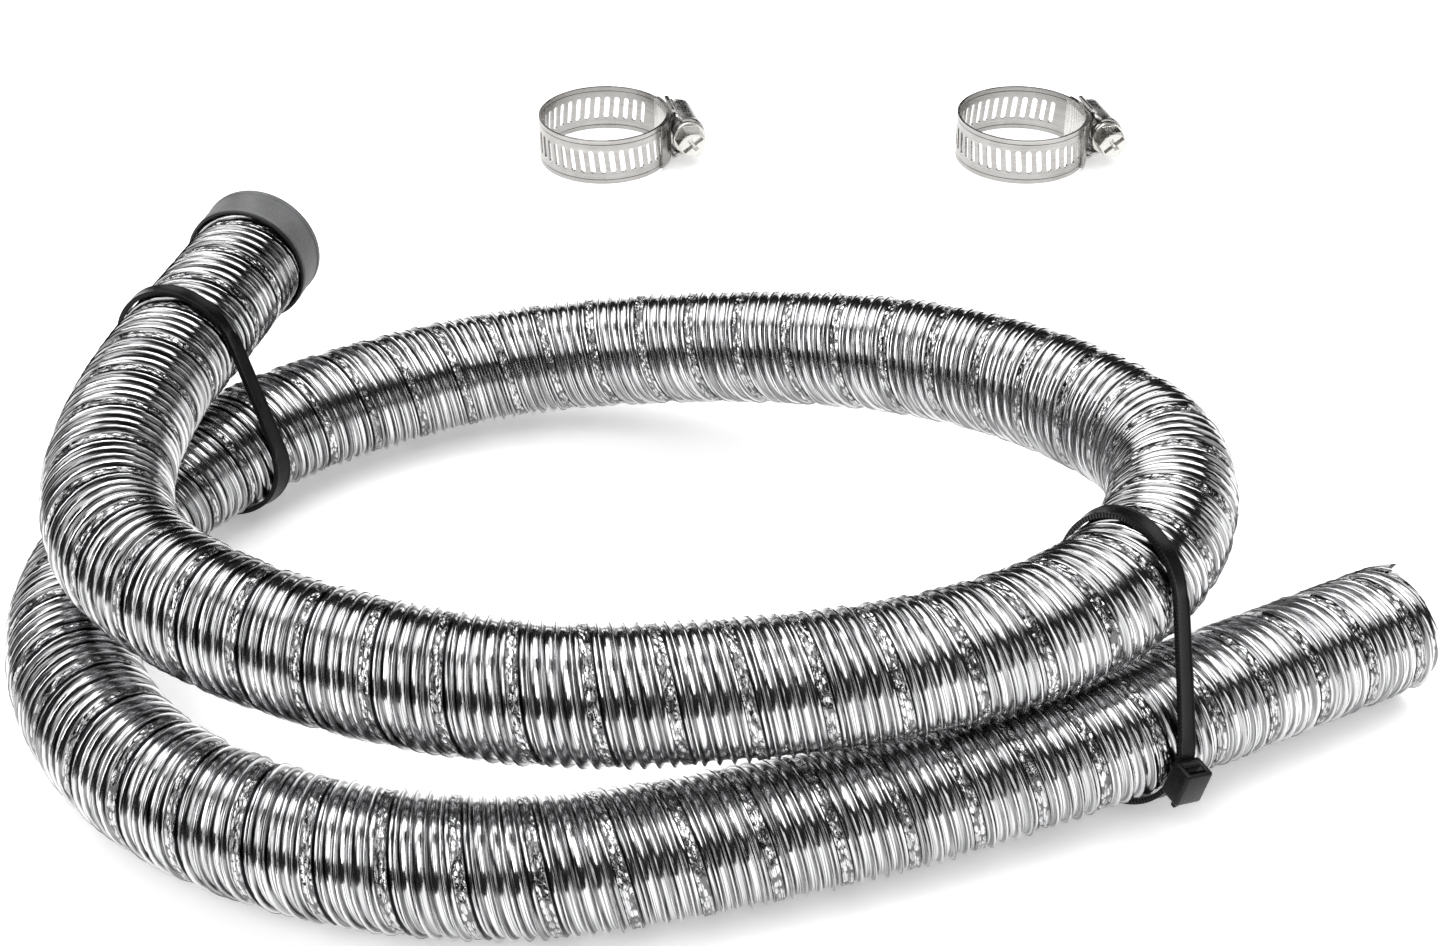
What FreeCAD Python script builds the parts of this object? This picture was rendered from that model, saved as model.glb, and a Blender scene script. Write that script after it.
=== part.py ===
import FreeCAD, Part
import math
import os

from FreeCAD import Placement, Rotation, Vector

# Flexible corrugated air duct, coiled and tied, with an end sleeve, two cable ties and two worm-drive clamps.
# Millimetres, +Z up, standing on Z = 0, with the origin under the middle of the whole set.

doc = FreeCAD.newDocument("FlexibleAirDuct")

# ------------------------------------------------------------------ driving dimensions
SIZES = [
    ("centre_x", 0.42),            # shift that puts the middle of the whole set over the origin
    ("centre_y", 0.07),
    ("duct_outer_r", 14.0),        # crest of the ridges
    ("wall_depth", 1.1),           # ridge height plus foil
    ("liner_gap", 0.1),            # between foil wall and liner
    ("liner_thick", 0.3),
    ("layer_gap", 0.2),            # between the two layers of the coil
    ("sleeve_clear", 0.2),         # sleeve bore over the duct
    ("sleeve_wall", 0.8),
    ("sleeve_length", 10.5),
    ("sleeve_lip", 1.2),           # thickness of the inward lip
    ("sleeve_lip_hole_r", 13.0),
    ("seal_width", 0.9),
    ("tie_width", 3.6),
    ("tie_thick", 1.2),
    ("tie_clear", 0.8),            # strap to duct
    ("tie_head_stand_off", 0.4),   # head's inner face, out from the strap's
    ("tie_head_width", 6.6),
    ("tie_head_length", 7.6),
    ("tie_head_depth", 5.2),
    ("tie_stub", 1.6),
    ("clamp_outer_r", 20.0),
    ("band_thick", 0.65),
    ("band_width", 14.2),
    ("slot_long", 7.4),
    ("slot_wide", 1.6),
    ("slot_step", 3.1),            # one worm pitch
    ("slot_slant", 6.0),           # degrees, the worm's helix angle
    ("layer_clear", 0.1),          # between band and tail
    ("saddle_half_angle", 24.0),   # degrees of the ring that the saddle closes
    ("tail_back_angle", 23.0),     # degrees behind the screw where the tail starts
    ("tail_front_angle", 42.0),    # degrees in front of it where the tail ends
    ("housing_length", 16.0),
    ("housing_wall", 1.0),
    ("housing_side_clear", 0.25),
    ("housing_round_clear", 0.3),
    ("thread_r", 4.1),
    ("thread_root_r", 3.2),
    ("thread_clear", 0.15),        # worm crest to tail
    ("screw_tip", 1.5),            # screw past the back of the housing
    ("hex_across_flats", 8.0),
    ("hex_length", 5.0),
    ("collar_r", 5.2),
    ("collar_length", 1.0),
    ("collar_gap", 0.4),
    ("recess_wide", 1.2),
    ("recess_deep", 1.4),
    ("recess_long_arm", 7.0),
    ("recess_short_arm", 4.6),
]

sheet = doc.addObject("Spreadsheet::Sheet", "Sizes")
for row, (alias, number) in enumerate(SIZES, start=1):
    sheet.set("A%d" % row, alias)
    sheet.set("B%d" % row, str(number))
    sheet.setAlias("B%d" % row, alias)
doc.recompute()


def size(alias):
    """Value of one cell of the sheet, for shapes that Part's own functions make."""
    return float(sheet.get(alias))


NODES = []


def keep(obj, label):
    """Names a finished sub-part; its label is its file's name."""
    obj.Label = label
    NODES.append(obj)
    return obj


def bound(kind, name, placement=None, **expressions):
    """A Part object whose properties are tied to cells of the sheet."""
    obj = doc.addObject(kind, name)
    for prop, expression in expressions.items():
        obj.setExpression(prop, expression)
    if placement:
        obj.Placement = placement
    return obj


def shaped(name, shape, placement=None):
    """A Part::Feature for a shape made by Part's own functions."""
    obj = doc.addObject("Part::Feature", name)
    obj.Shape = shape
    if placement:
        obj.Placement = placement
    return obj


def cut(name, base, tool):
    obj = doc.addObject("Part::Cut", name)
    obj.Base = base
    obj.Tool = tool
    return obj


def fuse(name, parts):
    obj = doc.addObject("Part::MultiFuse", name)
    obj.Shapes = parts
    return obj


# ------------------------------------------------------------------ route of the duct
# From the sleeved end, on top at the back left, forward and round the front as the upper layer, then down
# the right side and the back to the floor, under itself at the left, and round the front to the free end.
# Plan points, and the height of the centre line in layers: 0 on the floor, 1 resting on the lower layer.
# Just over 0 is the rise over a tie's strap.
ROUTE = [
    (-114, 20, 1.100), (-121, -12, 1.075), (-129, -44, 1.070), (-131, -76, 1.035), (-124, -105, 1.010),
    (-101, -127, 1.005), (-68, -143, 1.000), (-31, -152, 1.005), (9, -150, 1.015), (47, -142, 1.035),
    (78, -124, 1.070), (94, -99, 1.080), (97, -71, 1.060), (80, -46, 0.990), (55, -23, 0.840),
    (24, -5, 0.600), (-10, 8, 0.330), (-46, 13, 0.120), (-81, 1, 0.054), (-112, -22, 0.093),
    (-134, -53, 0.050), (-141, -88, 0.006), (-131, -121, 0.003), (-108, -148, 0.004), (-74, -164, 0.003),
    (-35, -169, 0.004), (3, -160, 0.003), (40, -148, 0.020), (77, -133, 0.091), (112, -114, 0.082),
    (145, -94, 0.008),
]
ARC_SHARE = 0.45        # of the shorter run beside a point goes into its arc
# The runs in whose straight middles one length of wall ends and the next begins.
WALL_BREAKS = [
    ("duct_wall_upper_left", None, 6),
    ("duct_wall_upper_front", 6, 12),
    ("duct_wall_right_and_back", 12, 17),
    ("duct_wall_lower_left", 17, 23),
    ("duct_wall_lower_front", 23, None),
]


def route_points():
    """Route points in millimetres; a layer is one duct diameter and its gap."""
    floor_z = size("duct_outer_r")
    layer = 2 * size("duct_outer_r") + size("layer_gap")
    shift = Vector(size("centre_x"), size("centre_y"), floor_z)
    return [Vector(x, y, level * layer) + shift for x, y, level in ROUTE]


class Centreline:
    """Straight runs joined by tangent arcs through the route's points."""

    def __init__(self, points):
        self.points = points
        self.before = [None] * len(points)
        self.after = [None] * len(points)
        self.middle = [None] * len(points)
        self.radii = []
        for i in range(1, len(points) - 1):
            self.round_corner(i)

    def round_corner(self, i):
        back = self.points[i - 1] - self.points[i]
        ahead = self.points[i + 1] - self.points[i]
        reach = ARC_SHARE * min(back.Length, ahead.Length)
        back.normalize()
        ahead.normalize()
        half_turn = (math.pi - back.getAngle(ahead)) / 2
        radius = reach / math.tan(half_turn)
        bisector = (back + ahead).normalize()
        centre = self.points[i] + bisector * (radius / math.cos(half_turn))
        self.before[i] = self.points[i] + back * reach
        self.after[i] = self.points[i] + ahead * reach
        self.middle[i] = centre - bisector * radius
        self.radii.append(radius)

    def mid_run(self, i):
        """Point in the straight middle of the run from route point i to i + 1."""
        start = self.after[i] if i else self.points[0]
        end = self.before[i + 1] if i + 2 < len(self.points) else self.points[-1]
        return (start + end) * 0.5

    def edges(self, start, first, last, end):
        """Edges from a start point, round the corners first..last, to an end point."""
        made = []
        at = start
        for i in range(first, last + 1):
            if (self.before[i] - at).Length > 1e-6:
                made.append(Part.LineSegment(at, self.before[i]).toShape())
            made.append(Part.Arc(self.before[i], self.middle[i], self.after[i]).toShape())
            at = self.after[i]
        if (end - at).Length > 1e-6:
            made.append(Part.LineSegment(at, end).toShape())
        return made


line = Centreline(route_points())
LAST = len(line.points) - 1
free_end = line.points[LAST]
sleeved_end = line.points[0]
free_dir = (free_end - line.points[LAST - 1]).normalize()
sleeved_dir = (sleeved_end - line.points[1]).normalize()
free_seam = line.after[LAST - 1]        # the straight length at each end slips over a spigot
sleeved_seam = line.before[1]

WALL_OUTER = "Sizes.duct_outer_r"
WALL_INNER = "Sizes.duct_outer_r - Sizes.wall_depth"
LINER_OUTER = WALL_INNER + " - Sizes.liner_gap"
LINER_INNER = LINER_OUTER + " - Sizes.liner_thick"


def across(point, direction):
    """Placement whose Z axis lies along a direction."""
    return Placement(point, Rotation(Vector(0, 0, 1), direction))


def tube(label, edges, outer, inner):
    """A hollow round tube along edges, swept from two bound circles."""
    spine = shaped(label + "_spine", Part.Wire(edges))
    start = edges[0].valueAt(edges[0].FirstParameter)
    heading = edges[0].tangentAt(edges[0].FirstParameter)
    solids = []
    for side, radius in (("outer", outer), ("inner", inner)):
        ring = bound("Part::Circle", label + "_" + side + "_ring", across(start, heading), Radius=radius)
        sweep = doc.addObject("Part::Sweep", label + "_" + side)
        sweep.Sections = [ring]
        sweep.Spine = (spine, ["Edge%d" % (n + 1) for n in range(len(edges))])
        sweep.Solid = True
        sweep.Frenet = False
        solids.append(sweep)
    return keep(cut(label + "_tube", solids[0], solids[1]), label)


# ------------------------------------------------------------------ the duct: foil wall and liner
def build_duct():
    tube("duct_wall_sleeved_end", [Part.LineSegment(sleeved_end, sleeved_seam).toShape()],
         WALL_OUTER, WALL_INNER)
    for label, first_run, last_run in WALL_BREAKS:
        start = sleeved_seam if first_run is None else line.mid_run(first_run)
        end = free_seam if last_run is None else line.mid_run(last_run)
        first_corner = 1 if first_run is None else first_run + 1
        last_corner = LAST - 1 if last_run is None else last_run
        tube(label, line.edges(start, first_corner, last_corner, end), WALL_OUTER, WALL_INNER)
    tube("duct_wall_free_end", [Part.LineSegment(free_seam, free_end).toShape()],
         WALL_OUTER, WALL_INNER)
    tube("duct_liner_sleeved_end", [Part.LineSegment(sleeved_end, sleeved_seam).toShape()],
         LINER_OUTER, LINER_INNER)
    tube("duct_liner_coil", line.edges(sleeved_seam, 1, LAST - 1, free_seam), LINER_OUTER, LINER_INNER)
    tube("duct_liner_free_end", [Part.LineSegment(free_seam, free_end).toShape()],
         LINER_OUTER, LINER_INNER)


# ------------------------------------------------------------------ end sleeve and its seal
def build_sleeve():
    """A short sleeve pushed over the duct's end up to its lip, with a seal ring at its mouth."""
    seat_gap = size("sleeve_clear")
    lip_end = size("sleeve_lip") + seat_gap
    outer_face = across(sleeved_end + sleeved_dir * lip_end, sleeved_dir * -1)
    lip_back = across(sleeved_end + sleeved_dir * seat_gap, sleeved_dir * -1)
    outer_r = "Sizes.duct_outer_r + Sizes.sleeve_clear + Sizes.sleeve_wall"
    body = bound("Part::Cylinder", "sleeve_body", outer_face, Radius=outer_r, Height="Sizes.sleeve_length")
    bore = bound("Part::Cylinder", "sleeve_bore", lip_back,
                 Radius="Sizes.duct_outer_r + Sizes.sleeve_clear", Height="Sizes.sleeve_length")
    hole = bound("Part::Cylinder", "sleeve_hole", outer_face,
                 Radius="Sizes.sleeve_lip_hole_r", Height="Sizes.sleeve_length")
    keep(cut("sleeve", cut("sleeve_cup", body, bore), hole), "end_sleeve")

    mouth = across(sleeved_end + sleeved_dir * (lip_end - size("sleeve_length")), sleeved_dir * -1)
    ring = bound("Part::Cylinder", "seal_body", mouth, Radius=outer_r, Height="Sizes.seal_width")
    inside = bound("Part::Cylinder", "seal_bore", mouth,
                   Radius="Sizes.duct_outer_r + Sizes.sleeve_clear", Height="Sizes.seal_width")
    keep(cut("seal", ring, inside), "sleeve_seal_ring")


# ------------------------------------------------------------------ cable ties
# Each strap lies in a plane that cuts both layers: a point of it at the height where they touch, the heading
# and the lean in degrees of the way it faces, which side the head is on (1 is left of the heading, -1 right),
# and the head's angle about the lower duct, below the level of the duct's centre.
TIES = [
    ("cable_tie_left", (-121.0, -29.5), 252.0, 2.0, -1, -8.0),
    ("cable_tie_right", (80.9, -125.6), 40.0, -10.5, -1, -27.0),
]


def crossing(edges, point, normal):
    """Where a chain of edges crosses a plane, nearest to a point of it, and the chain's heading there."""
    best = None
    for edge in edges:
        ends = (edge.FirstParameter, edge.LastParameter)
        side = [(edge.valueAt(t) - point).dot(normal) for t in ends]
        if side[0] * side[1] > 0:
            continue
        low, high = ends
        for _ in range(40):
            mid = (low + high) / 2
            if (edge.valueAt(mid) - point).dot(normal) * side[0] > 0:
                low = mid
            else:
                high = mid
        found = edge.valueAt(mid)
        near = Vector(found.x - point.x, found.y - point.y, 0).Length
        if best is None or near < best[0]:
            best = (near, found)
    return best[1]


def end_radius(edges, centre, place, sign):
    """Radius of the round end of a strap whose plane crosses the duct at a slant.

    The round end touches the duct's far side, and takes in all of the duct under the strap's width.
    """
    radius = size("duct_outer_r")
    half_width = size("tie_width") / 2
    flat = place.inverse()
    seen = []
    for edge in edges:
        steps = max(2, int(edge.Length))
        for n in range(steps + 1):
            t = edge.FirstParameter + (edge.LastParameter - edge.FirstParameter) * n / steps
            at = edge.valueAt(t)
            if (at - centre).Length > 2 * radius:
                continue
            ring = across(at, edge.tangentAt(t))
            for k in range(72):
                turn = math.radians(5 * k)
                spot = flat.multVec(ring.multVec(Vector(radius * math.cos(turn), radius * math.sin(turn), 0)))
                if abs(spot.z) <= half_width + 0.5:
                    seen.append((spot.x, (spot.y - flat.multVec(centre).y) * sign))
    far = max(y for x, y in seen) + size("tie_clear")
    need = [(x * x + (far - y) ** 2) / (2 * (far - y)) for x, y in seen if y > 0]
    return max(need) + 0.1, far


def strap_loop(name, low, high, grow, place, half_width):
    """A slab whose outline is two round ends and the straight sides that touch both."""
    r_low = low[0] + grow
    r_high = high[0] + grow
    y_low = low[0] - low[1]
    y_high = high[2] + high[1] - high[0]
    lean = math.asin((r_low - r_high) / (y_high - y_low))
    sine = math.sin(lean)
    cosine = math.cos(lean)
    low_right = Vector(r_low * cosine, y_low + r_low * sine, 0)
    high_right = Vector(r_high * cosine, y_high + r_high * sine, 0)
    low_left = Vector(-low_right.x, low_right.y, 0)
    high_left = Vector(-high_right.x, high_right.y, 0)
    outline = [
        Part.Arc(low_left, Vector(0, y_low - r_low, 0), low_right),
        Part.LineSegment(low_right, high_right),
        Part.Arc(high_right, Vector(0, y_high + r_high, 0), high_left),
        Part.LineSegment(high_left, low_left),
    ]
    wire = shaped(name + "_outline", Part.Wire([piece.toShape() for piece in outline]), place)
    slab = bound("Part::Extrusion", name + "_slab", LengthFwd=half_width, LengthRev=half_width)
    slab.Base = wire
    slab.DirMode = "Normal"
    slab.Solid = True
    return slab


def build_tie(label, plan, heading, lean, side, head_angle):
    """One nylon moulding: strap loop, head with its cut stub."""
    level = math.cos(math.radians(lean))
    normal = Vector(math.cos(math.radians(heading)) * level, math.sin(math.radians(heading)) * level,
                    math.sin(math.radians(lean)))
    point = Vector(plan[0] + size("centre_x"), plan[1] + size("centre_y"), 2 * size("duct_outer_r"))
    half = len(line.points) // 2
    upper_run = line.edges(sleeved_end, 1, half, line.mid_run(half))
    lower_run = line.edges(line.mid_run(half), half + 1, LAST - 1, free_end)
    upper = crossing(upper_run, point, normal)
    lower = crossing(lower_run, point, normal)
    up = (upper - lower).normalize()
    sideways = up.cross(normal).normalize() * side
    # local X runs sideways to the head's side, local Y from the lower duct to the upper, local Z across both
    place = Placement(lower, Rotation(sideways, up, sideways.cross(up), "XYZ"))
    low = end_radius(lower_run, lower, place, -1)
    high = end_radius(upper_run, upper, place, 1) + ((upper - lower).Length,)
    strap = cut(label + "_strap",
                strap_loop(label + "_out", low, high, size("tie_thick"), place, "Sizes.tie_width / 2"),
                strap_loop(label + "_in", low, high, 0, place, "Sizes.tie_width"))

    # the head's local X points away from the duct, its local Y up along the strap
    angle = math.radians(head_angle)
    radial = sideways * math.cos(angle) + up * math.sin(angle)
    tangent = up * math.cos(angle) - sideways * math.sin(angle)
    round_centre = lower + up * (low[0] - low[1])
    head_place = Placement(round_centre, Rotation(radial, tangent, radial.cross(tangent), "XYZ"))
    face = low[0] + size("tie_head_stand_off")

    def block(tag, x_start, y_start, z_half, **sides):
        corner = Placement(Vector(x_start, y_start, -z_half), Rotation())
        return bound("Part::Box", label + tag, head_place.multiply(corner), **sides)

    half_long = size("tie_head_length") / 2
    head = block("_head", face, -half_long, size("tie_head_width") / 2,
                 Length="Sizes.tie_head_depth", Width="Sizes.tie_head_length", Height="Sizes.tie_head_width")
    stub_x = face + size("tie_head_depth") / 2
    stub = block("_stub", stub_x, -half_long - size("tie_stub"), size("tie_width") / 2,
                 Length="Sizes.tie_thick", Width="Sizes.tie_stub + Sizes.tie_head_length / 2",
                 Height="Sizes.tie_width")
    keep(fuse(label + "_moulding", [strap, head, stub]), label)
    print("%s: duct centres %s and %s" % (label, lower, upper))
    print("  round ends: radius %.2f low, %.2f high" % (low[0], high[0]))
    print("  axes: sideways %s, up %s" % (sideways, up))


# ------------------------------------------------------------------ worm-drive clamps
# Ring centres on the floor and the heading of the screw housing, in degrees from +X.
CLAMPS = [
    ("clamp_1", (-35.7, 161.4), 14.0),
    ("clamp_2", (93.6, 161.4), 14.0),
]


def tail_inner_r():
    return size("clamp_outer_r") + size("layer_clear")


def screw_axis_r():
    """Distance of the screw's axis from the ring's axis: the worm runs just clear of the tail."""
    return tail_inner_r() + size("band_thick") + size("thread_clear") + size("thread_r")


def clamp_mid_z():
    """Height of the band's middle: the housing's side stands on the floor."""
    return size("band_width") / 2 + size("housing_side_clear") + size("housing_wall")


def slot_cutters(radius, first_angle, last_angle):
    """Slanted slots with round ends through a band, one worm pitch apart, between two angles."""
    half = size("slot_wide") / 2
    straight = size("slot_long") / 2 - half
    outline = [
        Part.LineSegment(Vector(0, -half, -straight), Vector(0, -half, straight)),
        Part.Arc(Vector(0, -half, straight), Vector(0, 0, straight + half), Vector(0, half, straight)),
        Part.LineSegment(Vector(0, half, straight), Vector(0, half, -straight)),
        Part.Arc(Vector(0, half, -straight), Vector(0, 0, -straight - half), Vector(0, -half, -straight)),
    ]
    face = Part.Face(Part.Wire([piece.toShape() for piece in outline]))
    depth = 4 * size("band_thick")
    slot = face.extrude(Vector(depth, 0, 0))
    slot.rotate(Vector(0, 0, 0), Vector(1, 0, 0), size("slot_slant"))
    slot.translate(Vector(radius - depth / 2, 0, clamp_mid_z()))
    step = math.degrees(size("slot_step") / radius)
    count = int((last_angle - first_angle) / step)
    start = (first_angle + last_angle - (count - 1) * step) / 2
    made = []
    for n in range(count):
        one = slot.copy()
        one.rotate(Vector(0, 0, 0), Vector(0, 0, 1), start + n * step)
        made.append(one)
    return Part.makeCompound(made)


def arc_strip(name, inner, outer, first_angle, last_angle, width, place):
    """A strip of the ring between two radii and two angles, at the band's height."""
    base = clamp_mid_z() - size(width) / 2
    turned = place.multiply(Placement(Vector(0, 0, base), Rotation(Vector(0, 0, 1), first_angle)))
    solids = []
    for side, radius in (("_outer", outer), ("_inner", inner)):
        ring = bound("Part::Cylinder", name + side, turned, Radius=radius, Height="Sizes." + width)
        ring.Angle = last_angle - first_angle if side == "_outer" else 360
        solids.append(ring)
    return cut(name + "_strip", solids[0], solids[1])


def build_band(name, place):
    """Perforated ring, closed by the saddle under the housing."""
    half = size("saddle_half_angle")
    strip = arc_strip(name + "_band", "Sizes.clamp_outer_r - Sizes.band_thick", "Sizes.clamp_outer_r",
                      half, 360 - half, "band_width", place)
    mid_r = size("clamp_outer_r") - size("band_thick") / 2
    slots = shaped(name + "_band_slots", slot_cutters(mid_r, half + 8, 352 - half), place)
    keep(cut(name + "_band_cut", strip, slots), name + "_band")


def build_saddle(name, place):
    """Plate under the housing that closes the ring."""
    half = size("saddle_half_angle")
    strip = arc_strip(name + "_saddle", "Sizes.clamp_outer_r - Sizes.band_thick", "Sizes.clamp_outer_r",
                      -half, half, "band_width", place)
    keep(strip, name + "_saddle")


def build_tail(name, place):
    """The band's free tail, outside the ring and under the worm."""
    back = size("tail_back_angle")
    front = size("tail_front_angle")
    inner = "Sizes.clamp_outer_r + Sizes.layer_clear"
    strip = arc_strip(name + "_tail", inner, inner + " + Sizes.band_thick", -front, back, "band_width", place)
    mid_r = tail_inner_r() + size("band_thick") / 2
    slots = shaped(name + "_tail_slots", slot_cutters(mid_r, 5 - front, back - 3), place)
    keep(cut(name + "_tail_cut", strip, slots), name + "_band_tail")


def along_screw(x_out, y_start):
    """Local placement whose Z axis runs along the screw, towards its tip."""
    return Placement(Vector(x_out, y_start, clamp_mid_z()), Rotation(Vector(0, 0, 1), Vector(0, 1, 0)))


def build_housing(name, place):
    """Arched cover over the worm; its two sides hold the saddle's edges."""
    wall = size("housing_wall")
    front = -size("housing_length") / 2
    axis_r = screw_axis_r()
    base_r = size("clamp_outer_r") * math.cos(math.radians(size("saddle_half_angle"))) - 0.5
    half_wide = size("band_width") / 2 + size("housing_side_clear") + wall
    arch = bound("Part::Cylinder", name + "_arch", place.multiply(along_screw(axis_r, front)),
                 Radius="Sizes.thread_r + Sizes.housing_round_clear + Sizes.housing_wall",
                 Height="Sizes.housing_length")
    tunnel = bound("Part::Cylinder", name + "_tunnel", place.multiply(along_screw(axis_r, front)),
                   Radius="Sizes.thread_r + Sizes.housing_round_clear", Height="Sizes.housing_length")
    shoulder = tail_inner_r() + size("band_thick") + size("layer_clear")

    def block(tag, low_x, high_x, half_z):
        corner = Vector(low_x, front, clamp_mid_z() - half_z)
        box = bound("Part::Box", name + tag, place.multiply(Placement(corner, Rotation())),
                    Width="Sizes.housing_length")
        box.Length = high_x - low_x
        box.Height = 2 * half_z
        return box

    sides = block("_sides", base_r, shoulder + wall, half_wide)
    channel = block("_channel", base_r, shoulder, half_wide - wall)
    neck = block("_neck", shoulder, axis_r, size("thread_r") + size("housing_round_clear") + wall)
    throat = block("_throat", base_r, axis_r, size("thread_r") + size("housing_round_clear"))
    # the sides stay outside the ring, so that nothing stands in the way of what is clamped
    bore = bound("Part::Cylinder", name + "_bore", place.multiply(Placement(Vector(0, 0, -5), Rotation())),
                 Radius="Sizes.clamp_outer_r")
    bore.Height = half_wide * 2 + 10
    solid = fuse(name + "_housing_solid", [arch, sides, neck])
    hollow = fuse(name + "_housing_hollow", [tunnel, channel, throat, bore])
    keep(cut(name + "_housing_cut", solid, hollow), name + "_housing")


def build_screw(name, place):
    """Hex-head worm screw: head with a cross recess, collar, threaded shank."""
    axis_r = screw_axis_r()
    front = -size("housing_length") / 2
    collar_start = front - size("collar_gap") - size("collar_length")
    head_start = collar_start - size("hex_length")
    length = size("housing_length") + size("collar_gap") + size("screw_tip")
    root = bound("Part::Cylinder", name + "_root",
                 place.multiply(along_screw(axis_r, collar_start + size("collar_length"))),
                 Radius="Sizes.thread_root_r",
                 Height="Sizes.housing_length + Sizes.collar_gap + Sizes.screw_tip")
    collar = bound("Part::Cylinder", name + "_collar", place.multiply(along_screw(axis_r, collar_start)),
                   Radius="Sizes.collar_r", Height="Sizes.collar_length")
    head = bound("Part::Prism", name + "_head", place.multiply(along_screw(axis_r, head_start)),
                 Circumradius="Sizes.hex_across_flats / 2 / cos(30)", Height="Sizes.hex_length")
    head.Polygon = 6
    pieces = [root, collar, head]
    pitch = size("slot_step")
    count = int((length - 2) / pitch)
    for n in range(count):
        # each crest is a pair of cones base to base
        at = collar_start + size("collar_length") + size("collar_gap") + 1 + n * pitch
        for tag, start, ends in (("rise", at, ("thread_root_r", "thread_r")),
                                 ("fall", at + pitch * 0.3, ("thread_r", "thread_root_r"))):
            cone = bound("Part::Cone", "%s_crest_%d_%s" % (name, n, tag),
                         place.multiply(along_screw(axis_r, start)),
                         Radius1="Sizes." + ends[0], Radius2="Sizes." + ends[1],
                         Height="Sizes.slot_step * 0.3")
            pieces.append(cone)
    solid = fuse(name + "_screw_solid", pieces)
    arms = []
    for tag, arm, turn in (("long", "recess_long_arm", 0), ("short", "recess_short_arm", 90)):
        middle = place.multiply(along_screw(axis_r, head_start)).multiply(
            Placement(Vector(0, 0, 0), Rotation(Vector(0, 0, 1), turn + 35)))
        corner = Placement(Vector(-size(arm) / 2, -size("recess_wide") / 2, 0), Rotation())
        arms.append(bound("Part::Box", name + "_arm_" + tag, middle.multiply(corner),
                          Length="Sizes." + arm, Width="Sizes.recess_wide", Height="Sizes.recess_deep"))
    keep(cut(name + "_screw_cut", solid, fuse(name + "_recess", arms)), name + "_screw")
    head_point = place.multVec(Vector(axis_r, head_start, clamp_mid_z()))
    print("%s screw axis through %s along %s" % (name, head_point, place.Rotation.multVec(Vector(0, 1, 0))))


def build_clamp(name, centre, heading):
    middle = Vector(centre[0] + size("centre_x"), centre[1] + size("centre_y"), 0)
    place = Placement(middle, Rotation(Vector(0, 0, 1), heading))
    for build in (build_band, build_saddle, build_tail, build_housing, build_screw):
        build(name, place)


build_duct()
build_sleeve()
for tie in TIES:
    build_tie(*tie)
for clamp in CLAMPS:
    build_clamp(*clamp)
doc.recompute()

# ------------------------------------------------------------------ checks, then one file for each sub-part
for obj in doc.Objects:
    if "Invalid" in obj.State or "Error" in obj.State:
        raise RuntimeError("%s did not build: %s" % (obj.Label, obj.State))
for obj in NODES:
    if obj.Shape.isNull() or not obj.Shape.isValid():
        raise RuntimeError("%s has no valid shape" % obj.Label)

os.makedirs("parts", exist_ok=True)
whole = FreeCAD.BoundBox()
for obj in NODES:
    obj.Shape.exportStep("parts/%s.step" % obj.Label)
    whole.add(obj.Shape.optimalBoundingBox(False, False))
    print("%-26s solids %d  volume %9.1f" % (obj.Label, len(obj.Shape.Solids), obj.Shape.Volume))

# ------------------------------------------------------------------ figures for the record
spine = Part.Wire(line.edges(sleeved_end, 1, LAST - 1, free_end))
section = math.pi * (size("duct_outer_r") ** 2 - (size("duct_outer_r") - size("wall_depth")) ** 2)
walls = sum(obj.Shape.Volume for obj in NODES if obj.Label.startswith("duct_wall"))
print("bend radii:", " ".join("%.0f" % radius for radius in line.radii))
print("duct length %.1f" % spine.Length)
print("wall volume %.1f, section x length %.1f" % (walls, section * spine.Length))
print("sleeved end %s pointing %s" % (sleeved_end, sleeved_dir))
print("free end %s pointing %s" % (free_end, free_dir))
print("straight ends: sleeved %.4f, free %.4f" % ((sleeved_end - sleeved_seam).Length,
                                                   (free_end - free_seam).Length))
print("overall box:", whole)
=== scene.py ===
import math

import bpy
import mathutils
import numpy as np
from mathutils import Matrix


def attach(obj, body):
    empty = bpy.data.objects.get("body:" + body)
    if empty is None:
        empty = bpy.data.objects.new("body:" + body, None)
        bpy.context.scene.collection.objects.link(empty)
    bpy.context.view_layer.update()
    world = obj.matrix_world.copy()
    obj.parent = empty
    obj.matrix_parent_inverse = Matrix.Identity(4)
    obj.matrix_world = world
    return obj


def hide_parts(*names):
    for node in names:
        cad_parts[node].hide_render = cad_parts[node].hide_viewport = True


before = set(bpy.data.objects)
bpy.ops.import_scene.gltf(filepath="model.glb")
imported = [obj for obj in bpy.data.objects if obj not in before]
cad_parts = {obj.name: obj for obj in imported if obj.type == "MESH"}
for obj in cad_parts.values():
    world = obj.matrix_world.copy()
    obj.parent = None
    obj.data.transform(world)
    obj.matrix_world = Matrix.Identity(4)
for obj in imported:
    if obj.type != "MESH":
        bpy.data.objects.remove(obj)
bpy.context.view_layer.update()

# Flexible corrugated foil duct, coiled and tied, with its end sleeve, two cable ties and two
# worm-drive clamps. Metres, +Z up, standing on Z = 0.


SCENE = bpy.context.scene
MM = 0.001

# ------------------------------------------------------------------ sizes shared with the frame
CENTRE = np.array([0.42, 0.07, 0.0]) * MM      # shift that puts the middle of the set over the origin
DUCT_R = 14.0 * MM                             # crest of the ridges
VALLEY_R = 12.78 * MM
SKIN_R = 12.68 * MM                            # inside of the foil
LINER_OUT = 12.62 * MM
LINER_IN = 12.5 * MM
LAYER = 28.2 * MM                              # height of one layer of the coil
STRIP = 13.4 * MM                              # width of the foil strip, one turn of its spiral
RIDGES = 4                                     # ridges across the strip
SEAM_SHARE = 0.20                              # share of the strip's width that the lap seam takes
COLUMNS = 38                                   # grid columns round the duct

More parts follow.
